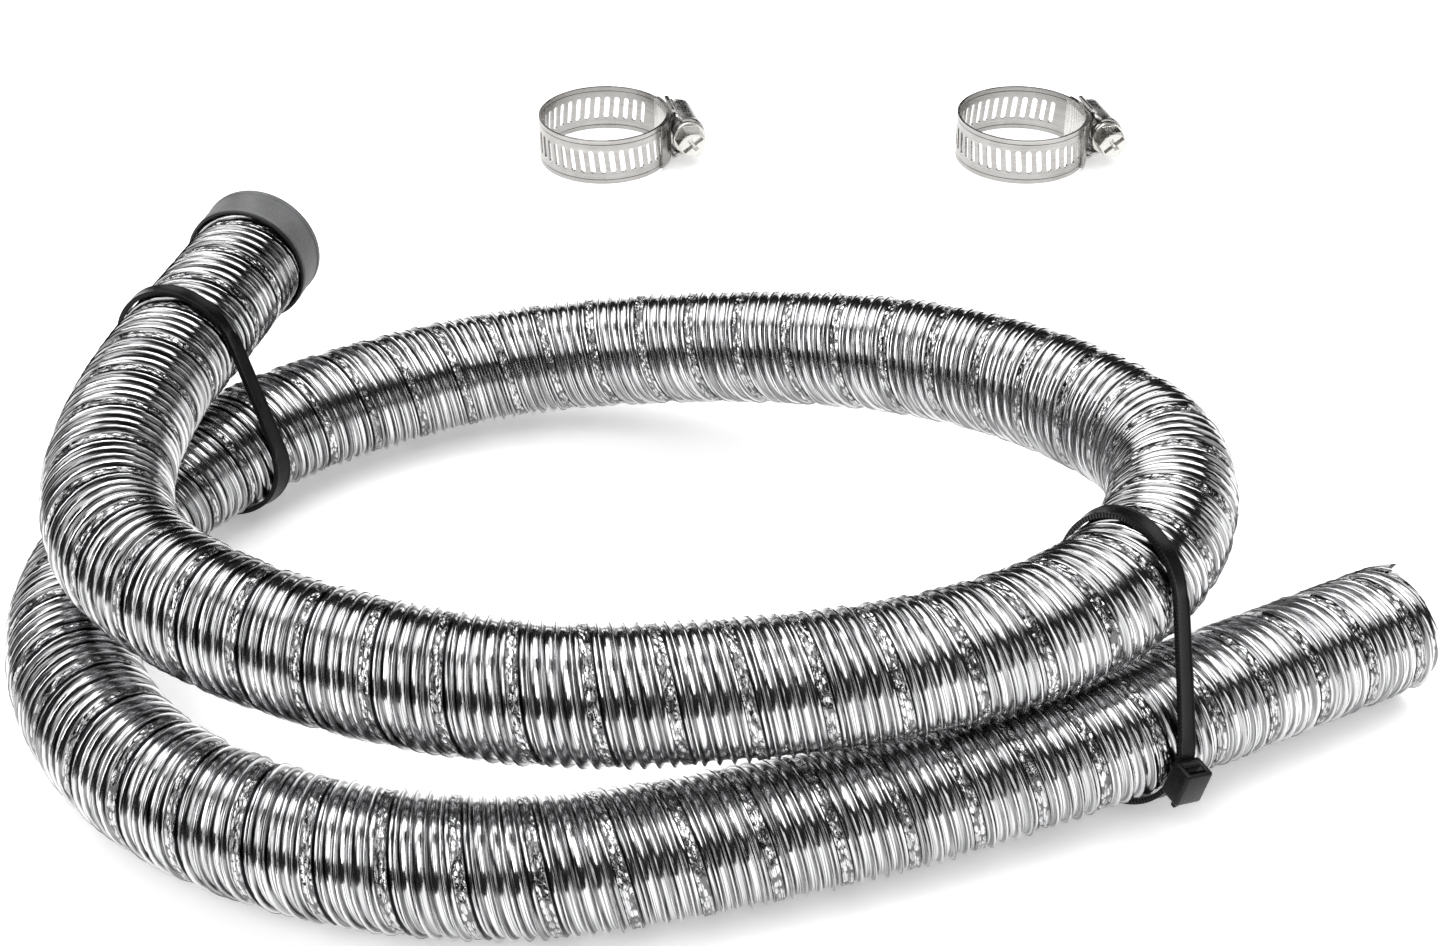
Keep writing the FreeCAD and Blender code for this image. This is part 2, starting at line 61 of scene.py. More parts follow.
# Plan points in millimetres and height in layers, from the sleeved end to the free end.
ROUTE = [
    (-114, 20, 1.100), (-121, -12, 1.075), (-129, -44, 1.070), (-131, -76, 1.035), (-124, -105, 1.010),
    (-101, -127, 1.005), (-68, -143, 1.000), (-31, -152, 1.005), (9, -150, 1.015), (47, -142, 1.035),
    (78, -124, 1.070), (94, -99, 1.080), (97, -71, 1.060), (80, -46, 0.990), (55, -23, 0.840),
    (24, -5, 0.600), (-10, 8, 0.330), (-46, 13, 0.120), (-81, 1, 0.054), (-112, -22, 0.093),
    (-134, -53, 0.050), (-141, -88, 0.006), (-131, -121, 0.003), (-108, -148, 0.004), (-74, -164, 0.003),
    (-35, -169, 0.004), (3, -160, 0.003), (40, -148, 0.020), (77, -133, 0.091), (112, -114, 0.082),
    (145, -94, 0.008),
]


# ------------------------------------------------------------------ meshes from arrays
def link(obj):
    SCENE.collection.objects.link(obj)
    return obj


def unit(vectors):
    return vectors / np.linalg.norm(vectors, axis=-1, keepdims=True)


def quads(rows, columns, wrap_rows=False, wrap_columns=False):
    """Corner indices of a grid's quads; a wrapped side joins its last line to its first."""
    i = np.arange(rows if wrap_rows else rows - 1)[:, None]
    j = np.arange(columns if wrap_columns else columns - 1)[None, :]
    i2 = (i + 1) % rows
    j2 = (j + 1) % columns
    corners = [i * columns + j, i * columns + j2, i2 * columns + j2, i2 * columns + j]
    return np.stack([np.broadcast_to(c, (i.shape[0], j.shape[1])) for c in corners], axis=-1).reshape(-1, 4)


def grid_uvs(rows, columns, u, v, wrap_rows=False, wrap_columns=False):
    """UVs for each corner of a grid's quads, from positions u along the rows and v along the columns.

    A wrapped side has one more value than lines, for the far side of its last quads.
    """
    i = np.arange(rows if wrap_rows else rows - 1)[:, None]
    j = np.arange(columns if wrap_columns else columns - 1)[None, :]
    corners = [(i, j), (i, j + 1), (i + 1, j + 1), (i + 1, j)]
    shape = (i.shape[0], j.shape[1])
    made = [np.stack([np.broadcast_to(u[a], shape), np.broadcast_to(v[b], shape)], axis=-1)
            for a, b in corners]
    return np.stack(made, axis=-2).reshape(-1, 4, 2)


def piece(name, points, faces, material, uvs=None, sharp=None):
    """A mesh from arrays: points (n, 3), faces as lists of indices, and one UV for each corner."""
    mesh = bpy.data.meshes.new(name)
    mesh.from_pydata(np.asarray(points).reshape(-1, 3).tolist(), [], [list(map(int, face)) for face in faces])
    if uvs is not None:
        layer = mesh.uv_layers.new(name="UVMap")
        layer.data.foreach_set("uv", np.ascontiguousarray(uvs, dtype=np.float32).ravel())
    mesh.polygons.foreach_set("use_smooth", [True] * len(mesh.polygons))
    if sharp is not None:
        mesh.set_sharp_from_angle(angle=math.radians(sharp))
    mesh.materials.append(material)
    mesh.update()
    return link(bpy.data.objects.new(name, mesh))


def slab(name, outer, inner, material, sharp):
    """A closed plate between two grids of points of the same shape, joined along all four borders."""
    rows, columns = outer.shape[:2]
    count = rows * columns
    ids = np.arange(count).reshape(rows, columns)
    rim = np.concatenate([ids[0, :-1], ids[:-1, -1], ids[-1, :0:-1], ids[:0:-1, 0]])
    after = np.roll(rim, -1)
    top = quads(rows, columns)
    sides = np.stack([rim, rim + count, after + count, after], axis=-1)
    faces = np.concatenate([top, top[:, ::-1] + count, sides])
    uvs = grid_uvs(rows, columns, np.linspace(0, 1, rows), np.linspace(0, 1, columns))
    all_uvs = np.concatenate([uvs, uvs[:, ::-1], np.zeros((len(sides), 4, 2))])
    points = np.concatenate([outer.reshape(-1, 3), inner.reshape(-1, 3)])
    return piece(name, points, outward(points, faces), material, all_uvs, sharp)


def outward(points, faces):
    """The faces, all turned over if together they enclose a negative volume."""
    a, b, c, d = (points[faces[:, k]] for k in range(4))
    volume = (np.cross(a, b) * c).sum() + (np.cross(a, c) * d).sum()
    return faces[:, ::-1] if volume < 0 else faces


def end_fans(rows, columns, first_end, last_end):
    """Triangles that close a wrapped grid's first and last rows, each to the point with the given index."""
    ring = np.arange(columns)
    last = (rows - 1) * columns + ring
    return np.concatenate([np.stack([np.roll(ring, -1), ring, np.full(columns, first_end)], -1),
                           np.stack([last, np.roll(last, -1), np.full(columns, last_end)], -1)])


def facing_out(points, centre, faces, fans):
    """A closed grid's faces and end fans as one list, all turned over if they face a centre inside it."""
    a, b, c = (points[faces[:, k]] - centre for k in range(3))
    if (np.cross(a, b) * c).sum() < 0:
        faces, fans = faces[:, ::-1], fans[:, ::-1]
    return faces.tolist() + fans.tolist()


def rounded(corners, radius, steps=4):
    """A closed outline with each corner replaced by an arc that touches both of its sides.

    Each arc has the given radius, or less where a side is too short for it.
    """
    corners = np.asarray(corners, float)
    radius = np.broadcast_to(radius, len(corners))
    before = np.roll(corners, 1, axis=0) - corners
    after = np.roll(corners, -1, axis=0) - corners
    made = []
    for corner, back, ahead, wanted in zip(corners, before, after, radius):
        shorter = min(np.linalg.norm(back), np.linalg.norm(ahead))
        back, ahead = unit(back), unit(ahead)
        half = math.acos(np.clip(back @ ahead, -1, 1)) / 2
        reach = min(wanted / math.tan(half), shorter * 0.45)
        start, end = corner + back * reach, corner + ahead * reach
        for t in np.linspace(0, 1, steps):
            bend = (1 - t) ** 2 * start + 2 * t * (1 - t) * corner + t ** 2 * end
            made.append(bend)
    return np.array(made)


def wander(x, seed, waves):
    """Smooth repeatable unevenness between about -1 and 1: a sum of sines of rising rates."""
    rng = np.random.default_rng(seed)
    total = np.zeros_like(x, dtype=float)
    for n in range(waves):
        total = total + np.sin(x * 1.7 ** n + rng.uniform(0, 6.28)) * rng.uniform(0.5, 1.0)
    return total / (0.55 * waves)


def random_at(number, seed):
    """A repeatable value from 0 to 1 for each whole number: the fraction of a large multiple of its sine."""
    return np.modf(np.abs(np.sin(number * 12.9898 + seed * 78.233) * 43758.5453))[0]


def smooth_step(x, low, high):
    t = np.clip((x - low) / (high - low), 0, 1)
    return t * t * (3 - 2 * t)


# ------------------------------------------------------------------ node trees
class Tree:
    """Adds nodes to a node tree. An input given as a socket is linked, anything else is its value."""

    def __init__(self, tree):
        self.tree = tree

    def add(self, kind, settings=None, inputs=None):
        node = self.tree.nodes.new(kind)
        for key, value in (settings or {}).items():
            setattr(node, key, value)
        for key, value in (inputs or {}).items():
            self.put(node.inputs[key], value)
        return node

    def put(self, socket, value):
        if isinstance(value, bpy.types.NodeSocket):
            self.tree.links.new(value, socket)
        else:
            socket.default_value = value

    def math(self, operation, a, b=0.0, clamp=False):
        node = self.add("ShaderNodeMath", {"operation": operation, "use_clamp": clamp}, {0: a, 1: b})
        return node.outputs[0]

    def scaled(self, vector, factors):
        node = self.add("ShaderNodeVectorMath", {"operation": "MULTIPLY"}, {0: vector, 1: factors})
        return node.outputs["Vector"]

    def noise(self, vector, scale=1.0, detail=2.0, distortion=0.0):
        inputs = {"Vector": vector, "Scale": scale, "Detail": detail, "Distortion": distortion}
        return self.add("ShaderNodeTexNoise", None, inputs).outputs["Fac"]

    def cells(self, vector):
        """Distance from the middle of the nearest cell."""
        inputs = {"Vector": vector, "Scale": 1.0}
        return self.add("ShaderNodeTexVoronoi", {"feature": "F1"}, inputs).outputs["Distance"]

    def split(self, vector):
        return self.add("ShaderNodeSeparateXYZ", None, {0: vector}).outputs

    def ramp_value(self, value, low, high, to_low=0.0, to_high=1.0):
        settings = {"interpolation_type": "SMOOTHSTEP"}
        inputs = {"Value": value, "From Min": low, "From Max": high, "To Min": to_low, "To Max": to_high}
        return self.add("ShaderNodeMapRange", settings, inputs).outputs["Result"]

    def line_at(self, value, middle, half_width):
        """1 on a line where the value is at its middle, fading to 0 at the half width."""
        away = self.math("ABSOLUTE", self.math("SUBTRACT", value, middle))
        return self.ramp_value(away, half_width * 0.35, half_width, 1.0, 0.0)

    def colors(self, factor, stops):
        node = self.add("ShaderNodeValToRGB", None, {"Fac": factor})
        while len(node.color_ramp.elements) < len(stops):
            node.color_ramp.elements.new(0.5)
        for element, (place, color) in zip(node.color_ramp.elements, stops):
            element.position = place
            element.color = (*color, 1)
        return node.outputs["Color"]


def new_group(name, inputs, outputs):
    """A shader node group, its tree, the sockets of its input node, and its output node."""
    group = bpy.data.node_groups.new(name, "ShaderNodeTree")
    for side, sockets in (("INPUT", inputs), ("OUTPUT", outputs)):
        for socket_name, kind in sockets:
            group.interface.new_socket(name=socket_name, in_out=side, socket_type="NodeSocket" + kind)
    tree = Tree(group)
    source = tree.add("NodeGroupInput").outputs
    return group, tree, source, tree.add("NodeGroupOutput")


OUT = [("Tone", "Float"), ("Roughness", "Float"), ("Height", "Float")]


def foil_creases_and_painted_shade():
    """Creases of the foil strip from its UVs: x in turns along the strip, y from 0 to 1 across it.

    Height, in millimetres, adds rolling lines, creases, soft dents and the crimped chain of the lap seam.
    Tone is 1 less the darkest of the painted shade along the seam's edges and in its pits, and of the painted
    reflections that darken the hairlines, the streaks and the feet of the ridges.
    """
    group, t, source, result = new_group("foil_creases_and_painted_shade", [("Vector", "Vector")], OUT)
    uv = source["Vector"]
    across = t.split(uv)[1]
    rolled = t.noise(t.scaled(uv, (4.0, 40.0, 1.0)), detail=3.0)
    fine = t.noise(t.scaled(uv, (3.0, 46.0, 1.0)), detail=2.0)
    creased = t.noise(t.scaled(uv, (24.0, 26.0, 1.0)), detail=3.0, distortion=0.6)
    dented = t.noise(t.scaled(uv, (7.0, 7.0, 1.0)), detail=1.5)
    seam = t.math("MULTIPLY", t.ramp_value(across, 0.0, 0.02), t.ramp_value(across, 0.16, 0.19, 1.0, 0.0))
    crimp = t.cells(t.scaled(uv, (46.0, 17.0, 1.0)))
    crimp_fine = t.noise(t.scaled(uv, (70.0, 26.0, 1.0)), detail=2.0)
    chain = t.math("MULTIPLY", seam, t.math("ADD", t.math("MULTIPLY", crimp, 0.40),
                                            t.math("MULTIPLY", crimp_fine, 0.26)))
    height = t.math("ADD", t.math("MULTIPLY", rolled, 0.055), t.math("MULTIPLY", creased, 0.035))
    height = t.math("ADD", t.math("ADD", height, t.math("MULTIPLY", dented, 0.09)), chain)

    ridges_each_unit = RIDGES / (1 - SEAM_SHARE)
    in_ridge = t.math("FRACT", t.math("MULTIPLY", t.math("SUBTRACT", across, SEAM_SHARE), ridges_each_unit))
    # Painted reflections: darker lines at the feet of every ridge, fainter on one side, broken up by noise
    # and kept off the seam, standing in for the reflections inside the valleys.
    painted_foot_reflections = t.math("MAXIMUM", t.line_at(in_ridge, 0.70, 0.15),
                  t.math("MULTIPLY", t.line_at(in_ridge, 0.30, 0.12), 0.8))
    broken = t.ramp_value(t.noise(t.scaled(uv, (5.0, 15.0, 1.0)), detail=2.0), 0.30, 0.60, 0.45, 1.0)
    painted_foot_reflections = t.math("MULTIPLY", t.math("MULTIPLY", painted_foot_reflections, broken), t.math("GREATER_THAN", across, SEAM_SHARE))
    # Painted reflections: fine darker hairlines where a stretched noise crosses a narrow band.
    painted_hairline_reflections = t.math("MULTIPLY", t.ramp_value(fine, 0.49, 0.56), 0.68)
    # Painted reflections: broad darker streaks from a stretched noise.
    painted_streak_reflections = t.ramp_value(t.noise(t.scaled(uv, (2.6, 8.0, 1.0)), detail=2.0), 0.46, 0.64, 0.0, 0.34)
    # Painted shade: a darker line along both edges of the lap seam, and darker pits among its crimped cells.
    painted_seam_shade = t.math("MAXIMUM", t.line_at(across, 0.194, 0.030),
                  t.math("MULTIPLY", t.line_at(across, 0.004, 0.012), 0.6))
    painted_pit_shade = t.math("MULTIPLY", t.ramp_value(crimp, 0.44, 0.66), t.math("MULTIPLY", seam, 0.82))
    # All the painted shade and painted reflections together: Tone is 1 less this, and it also adds roughness.
    painted_dark = t.math("MAXIMUM", t.math("MAXIMUM", painted_seam_shade, painted_pit_shade), t.math("MAXIMUM", painted_hairline_reflections, painted_streak_reflections))
    painted_dark = t.math("MAXIMUM", painted_dark, painted_foot_reflections)
    t.put(result.inputs["Tone"], t.math("SUBTRACT", 1.0, painted_dark, clamp=True))
    rough = t.math("ADD", 0.05, t.math("MULTIPLY", creased, 0.10))
    t.put(result.inputs["Roughness"], t.math("ADD", rough, t.math("MULTIPLY", painted_dark, 0.15)))
    t.put(result.inputs["Height"], height)
    return group


def moulded_grain():
    """Fine grain, dull patches and hairline scratches at any place, for mouldings and dull metal.

    Scale is in grains for each metre; Height runs from 0 to about 1.
    """
    group, t, source, result = new_group("moulded_grain", [("Vector", "Vector"), ("Scale", "Float")], OUT)
    place = source["Vector"]
    grain = t.noise(place, scale=source["Scale"], detail=3.0)
    patches = t.noise(place, scale=130.0, detail=2.0)
    scratch = t.noise(t.scaled(place, (300.0, 2600.0, 900.0)), detail=1.0, distortion=0.8)
    hairline = t.ramp_value(scratch, 0.66, 0.72)
    tone = t.math("ADD", t.math("MULTIPLY", grain, 0.45), t.math("MULTIPLY", patches, 0.55))
    t.put(result.inputs["Tone"], t.math("ADD", tone, t.math("MULTIPLY", hairline, 0.15), clamp=True))
    t.put(result.inputs["Roughness"], t.math("ADD", t.math("MULTIPLY", patches, 0.6),
                                             t.math("MULTIPLY", grain, 0.4)))
    t.put(result.inputs["Height"], t.math("SUBTRACT", grain, t.math("MULTIPLY", hairline, 0.4)))
    return group


def brushed_lines():
    """Rolling lines that run level round a band, with fainter smears, at a place in metres."""
    group, t, source, result = new_group("brushed_lines", [("Vector", "Vector")], OUT)
    place = source["Vector"]
    lines = t.noise(t.scaled(place, (60.0, 60.0, 5200.0)), detail=3.0)
    broad = t.noise(t.scaled(place, (40.0, 40.0, 900.0)), detail=2.0)
    smear = t.noise(place, scale=160.0, detail=2.0)
    tone = t.math("ADD", t.math("MULTIPLY", lines, 0.4), t.math("MULTIPLY", broad, 0.25))
    t.put(result.inputs["Tone"], t.math("ADD", tone, t.math("MULTIPLY", smear, 0.35), clamp=True))
    t.put(result.inputs["Roughness"], t.math("ADD", t.math("MULTIPLY", smear, 0.6),
                                             t.math("MULTIPLY", lines, 0.4)))
    t.put(result.inputs["Height"], t.math("ADD", lines, t.math("MULTIPLY", broad, 0.6)))
    return group


FOIL_CREASES_AND_PAINTED_SHADE = foil_creases_and_painted_shade()
MOULDED_GRAIN = moulded_grain()
BRUSHED_LINES = brushed_lines()


def new_material(name, metallic, **constants):
    """A material with its tree and its shader; the shader's own sockets hold what doesn't vary."""
    material = bpy.data.materials.new(name)
    material.use_nodes = True
    shader = material.node_tree.nodes["Principled BSDF"]
    shader.inputs["Metallic"].default_value = metallic
    for key, value in constants.items():
        shader.inputs[key.replace("_", " ").title().replace("Ior", "IOR")].default_value = value
    return material, Tree(material.node_tree), shader


def foil_material(name, painted_dark, bright, distance):
    """Rolled aluminium foil whose creases follow the strip."""
    material, t, shader = new_material(name, 1.0)
    uv = t.add("ShaderNodeUVMap", {"uv_map": "UVMap"}).outputs["UV"]
    creases = t.add("ShaderNodeGroup", {"node_tree": FOIL_CREASES_AND_PAINTED_SHADE}, {"Vector": uv}).outputs
    # The colour runs from the first colour, where the painted shade and painted reflections are full, to the
    # bright foil.
    t.put(shader.inputs["Base Color"], t.colors(creases["Tone"], [(0.0, painted_dark), (1.0, bright)]))
    t.put(shader.inputs["Roughness"], creases["Roughness"])
    bump = t.add("ShaderNodeBump", None, {"Strength": 1.0, "Distance": distance, "Height": creases["Height"]})
    t.put(shader.inputs["Normal"], bump.outputs["Normal"])
    return material


def moulded_material(name, scale, stops, rough_from, rough_to, depth, metallic=0.0, **constants):
    """A moulding or dull metal with fine grain over its Object coordinates."""
    material, t, shader = new_material(name, metallic, **constants)
    place = t.add("ShaderNodeTexCoord").outputs["Object"]
    grain = t.add("ShaderNodeGroup", {"node_tree": MOULDED_GRAIN}, {"Vector": place, "Scale": scale}).outputs
    t.put(shader.inputs["Base Color"], t.colors(grain["Tone"], stops))
    t.put(shader.inputs["Roughness"], t.ramp_value(grain["Roughness"], 0.3, 0.7, rough_from, rough_to))
    bump = t.add("ShaderNodeBump", None, {"Strength": 1.0, "Distance": depth, "Height": grain["Height"]})
    t.put(shader.inputs["Normal"], bump.outputs["Normal"])
    return material


def strap_material():
    """Black nylon; along the inner face of a strap its UVs carry cross teeth, and its rims shine a little."""
    material, t, shader = new_material("black_nylon_strap", 0.0, specular_ior_level=0.15)
    place = t.add("ShaderNodeTexCoord").outputs["Object"]
    grain = t.add("ShaderNodeGroup", {"node_tree": MOULDED_GRAIN}, {"Vector": place, "Scale": 3200.0}).outputs
    uv = t.split(t.add("ShaderNodeUVMap", {"uv_map": "UVMap"}).outputs["UV"])
    inner = t.math("MULTIPLY", t.ramp_value(uv[1], 0.56, 0.60), t.ramp_value(uv[1], 0.86, 0.90, 1.0, 0.0))
    tooth = t.math("PINGPONG", t.math("MULTIPLY", uv[0], 1.25), 0.5)
    height = t.math("ADD", t.math("MULTIPLY", grain["Height"], 0.06), t.math("MULTIPLY", inner, tooth))
    stops = [(0.25, (0.002, 0.002, 0.002)), (0.75, (0.008, 0.008, 0.008))]
    t.put(shader.inputs["Base Color"], t.colors(grain["Tone"], stops))
    t.put(shader.inputs["Roughness"], t.ramp_value(grain["Roughness"], 0.3, 0.7, 0.22, 0.38))
    bump = t.add("ShaderNodeBump", None, {"Strength": 1.0, "Distance": 0.0003, "Height": height})
    t.put(shader.inputs["Normal"], bump.outputs["Normal"])
    return material


def band_material():
    """Stainless band: rolling lines round the ring, and a rolled line inside each of its edges, with painted
    shade darkening it.
    """
    material, t, shader = new_material("stainless_band", 1.0)
    place = t.add("ShaderNodeTexCoord").outputs["Object"]
    brushed = t.add("ShaderNodeGroup", {"node_tree": BRUSHED_LINES}, {"Vector": place}).outputs
    high = t.split(place)[2]
    rolled = t.math("MAXIMUM", t.line_at(high, 0.0026, 0.00016), t.line_at(high, 0.0141, 0.00016))
    # Painted shade: the colour is darker along the rolled groove near each of the band's edges; the same mask
    # cuts the groove as a bump.
    tone = t.math("SUBTRACT", brushed["Tone"], t.math("MULTIPLY", rolled, 0.45), clamp=True)
    stops = [(0.10, (0.10, 0.10, 0.09)), (0.38, (0.32, 0.31, 0.30)), (0.72, (0.55, 0.54, 0.53))]
    t.put(shader.inputs["Base Color"], t.colors(tone, stops))
    t.put(shader.inputs["Roughness"], t.ramp_value(brushed["Roughness"], 0.3, 0.7, 0.20, 0.38))
    height = t.math("SUBTRACT", t.math("MULTIPLY", brushed["Height"], 0.25), rolled)
    bump = t.add("ShaderNodeBump", None, {"Strength": 1.0, "Distance": 0.00004, "Height": height})
    t.put(shader.inputs["Normal"], bump.outputs["Normal"])
    return material


def lining_material():
    """Dull inner ply: shallow spiral ridges from its UVs, x in turns of the strip."""
    material, t, shader = new_material("duct_lining", 1.0)
    uv_vector = t.add("ShaderNodeUVMap", {"uv_map": "UVMap"}).outputs["UV"]
    uv = t.split(uv_vector)
    ridge = t.math("PINGPONG", t.math("MULTIPLY", uv[0], 5.0), 0.5)
    seam = t.line_at(t.math("FRACT", uv[0]), 0.1, 0.05)
    stain = t.noise(t.scaled(uv_vector, (1.0, 5.0, 1.0)), scale=1.6, detail=4.0)
    tone = t.math("SUBTRACT", stain, t.math("MULTIPLY", seam, 0.4), clamp=True)
    greys = [(0.2, (0.07, 0.07, 0.075)), (0.75, (0.34, 0.34, 0.35))]
    t.put(shader.inputs["Base Color"], t.colors(tone, greys))
    t.put(shader.inputs["Roughness"], t.ramp_value(stain, 0.3, 0.7, 0.32, 0.52))
    height = t.math("ADD", ridge, t.math("MULTIPLY", stain, 0.3))
    bump = t.add("ShaderNodeBump", None, {"Strength": 1.0, "Distance": 0.0008, "Height": height})
    t.put(shader.inputs["Normal"], bump.outputs["Normal"])
    return material


# First colour: full painted shade and painted reflections; second colour: the bright foil itself.
FOIL = foil_material("bright_foil", (0.008, 0.008, 0.009), (0.80, 0.80, 0.81), MM)
LINING = lining_material()
SLEEVE = moulded_material("grey_sleeve", 2600.0, [(0.3, (0.070, 0.071, 0.073)), (0.7, (0.190, 0.192, 0.195))],
                          0.48, 0.66, 0.00008)
SEAL = moulded_material("black_seal", 3000.0, [(0.2, (0.002, 0.002, 0.002)), (0.8, (0.007, 0.007, 0.007))],
                        0.42, 0.60, 0.00005)
NYLON = moulded_material("black_nylon_head", 3200.0,
                         [(0.25, (0.002, 0.002, 0.002)), (0.75, (0.008, 0.008, 0.008))],
                         0.18, 0.34, 0.00003, specular_ior_level=0.2)
STRAP = strap_material()
BAND = band_material()
PRESSED = moulded_material("pressed_stainless", 1500.0,
                           [(0.15, (0.42, 0.41, 0.40)), (0.6, (0.70, 0.69, 0.67)), (0.9, (0.80, 0.79, 0.77))],
                           0.16, 0.36, 0.00004, metallic=1.0)
SCREW = moulded_material("zinc_plated_screw", 2400.0,
                         [(0.15, (0.40, 0.39, 0.36)), (0.6, (0.68, 0.67, 0.64)), (0.9, (0.80, 0.80, 0.77))],
                         0.20, 0.44, 0.00005, metallic=1.0)


# ------------------------------------------------------------------ the duct's line
def spline_line(points):
    """Points read from a quadratic NURBS spline that has the route's points as its control points."""
    curve = bpy.data.curves.new("duct_line", "CURVE")
    curve.dimensions = "3D"
    spline = curve.splines.new("NURBS")
    spline.points.add(len(points) - 1)
    spline.points.foreach_set("co", np.c_[points, np.ones(len(points))].ravel())
    spline.order_u = 3
    spline.use_endpoint_u = True
    spline.resolution_u = 32
    obj = link(bpy.data.objects.new("duct_line", curve))
    bpy.context.view_layer.update()
    mesh = bpy.data.meshes.new_from_object(obj)
    found = np.empty(len(mesh.vertices) * 3)
    mesh.vertices.foreach_get("co", found)
    bpy.data.objects.remove(obj)
    bpy.data.curves.remove(curve)
    bpy.data.meshes.remove(mesh)
    return found.reshape(-1, 3)


def route_points():
    plan = np.array(ROUTE, dtype=float)
    return np.c_[plan[:, :2] * MM, DUCT_R + plan[:, 2] * LAYER] + CENTRE


class Line:
    """Position, heading, side and upward direction at any distance along the duct."""

    def __init__(self, points):
        self.points = points
        steps = np.linalg.norm(np.diff(points, axis=0), axis=1)
        self.at_vertex = np.r_[0, np.cumsum(steps)]
        self.length = self.at_vertex[-1]
        self.even = np.linspace(0, self.length, 1200)
        self.headings = unit(np.gradient(self.place(self.even), axis=0))

    def place(self, s):
        return np.stack([np.interp(s, self.at_vertex, self.points[:, k]) for k in range(3)], axis=-1)

    def frame(self, s):
        heading = unit(np.stack([np.interp(s, self.even, self.headings[:, k]) for k in range(3)], axis=-1))
        side = unit(np.cross(heading, np.array([0.0, 0.0, 1.0])))
        return heading, side, np.cross(side, heading)

    def on_tube(self, s, turn, radius):
        """A point of a tube: place + radius * (cos turn * side + sin turn * up)."""
        _, side, up = self.frame(s)
        radius = np.asarray(radius)[..., None]
        return self.place(s) + radius * (np.cos(turn)[..., None] * side + np.sin(turn)[..., None] * up)


LINE = Line(spline_line(route_points()))


def beyond_end(s, turn, radius):
    """A point of the tube that may lie a little past the free end, along the last heading."""
    extra = np.maximum(s - LINE.length, 0)[..., None]
    return LINE.on_tube(np.minimum(s, LINE.length), turn, radius) + extra * LINE.headings[-1]


# ------------------------------------------------------------------ the foil wall
CUT_UNEVEN = 0.5 * MM                          # how far the free end's cut wanders each way
CREST_HEIGHT = 0.93                            # mean share of the full height that a crest reaches
CREST_SWAY = 0.09                              # slow unevenness of a crest round the tube
CREST_DROP = 0.06                              # most that one crest is lower than the next
VALLEY_LEAN = 0.085
SEAM_CRIMP = 0.10
DENT = 0.09 * MM                               # deepest dent in the wall


def strip_profile():
    """Low lap seam with a raised edge on each side, then narrow ridges with wide valleys.

    Returns where across the strip, from 0 to 1, and how high between valley (0) and crest (1).
    """
    seam_at = [0.0, 0.030, 0.075, 0.130, 0.172]
    seam_high = [0.12, 0.58, 0.44, 0.40, 0.62]
    ridge_at = [0.0, 0.31, 0.43, 0.50, 0.57, 0.69]
    ridge_high = [0.02, 0.06, 0.66, 1.0, 0.66, 0.06]
    share = (1 - SEAM_SHARE) / RIDGES
    at = seam_at + [SEAM_SHARE + (r + x) * share for r in range(RIDGES) for x in ridge_at]
    high = seam_high + ridge_high * RIDGES
    return np.array(at), np.array(high)


def free_cut(turn):
    """Distance along the duct of its free cut end: the length less an uneven millimetre round the tube."""
    return LINE.length - CUT_UNEVEN * (1 + wander(turn, 11, 4))


def wall_radius(spiral, turn, cut_s, at, high):
    """Radius of the wall: valley + depth * profile(across) - dent, where across is the part of the spiral's
    count of strips after its whole number. Crests vary in height, and each valley leans its own way, slowly
    round the tube.
    """
    across = spiral % 1.0
    height = np.interp(across, np.r_[at, 1.0], np.r_[high, high[0]])
    ridge = np.floor((across - SEAM_SHARE) / (1 - SEAM_SHARE) * RIDGES)
    ridge_number = ridge + RIDGES * np.floor(spiral)
    in_ridge = ((across - SEAM_SHARE) / (1 - SEAM_SHARE) * RIDGES) % 1.0
    along = 6.283 * np.floor(spiral) - turn
    crest = CREST_HEIGHT + CREST_SWAY * wander(along * 0.9 + ridge_number * 0.7, 3, 5)
    crest = np.clip(crest - CREST_DROP * random_at(ridge_number, 1), 0.6, 1.0)
    lean = wander(along * 0.7 + ridge_number * 2.4, 4, 5) + 1.6 * (random_at(ridge_number, 2) - 0.5)
    valley = VALLEY_LEAN * lean * np.sin(2 * math.pi * in_ridge) * (across > SEAM_SHARE)
    crimped = SEAM_CRIMP * wander(along * 7.0, 6, 3) * (across <= SEAM_SHARE) * (across > 0.01)
    rise = np.clip(height * crest + np.abs(valley) + crimped, 0.0, 1.0)
    dent = 0.5 * (wander(along * 0.31 + cut_s * 60, 5, 4) + 1)
    return VALLEY_R + (DUCT_R - VALLEY_R) * rise - DENT * np.clip(dent, 0, 1)


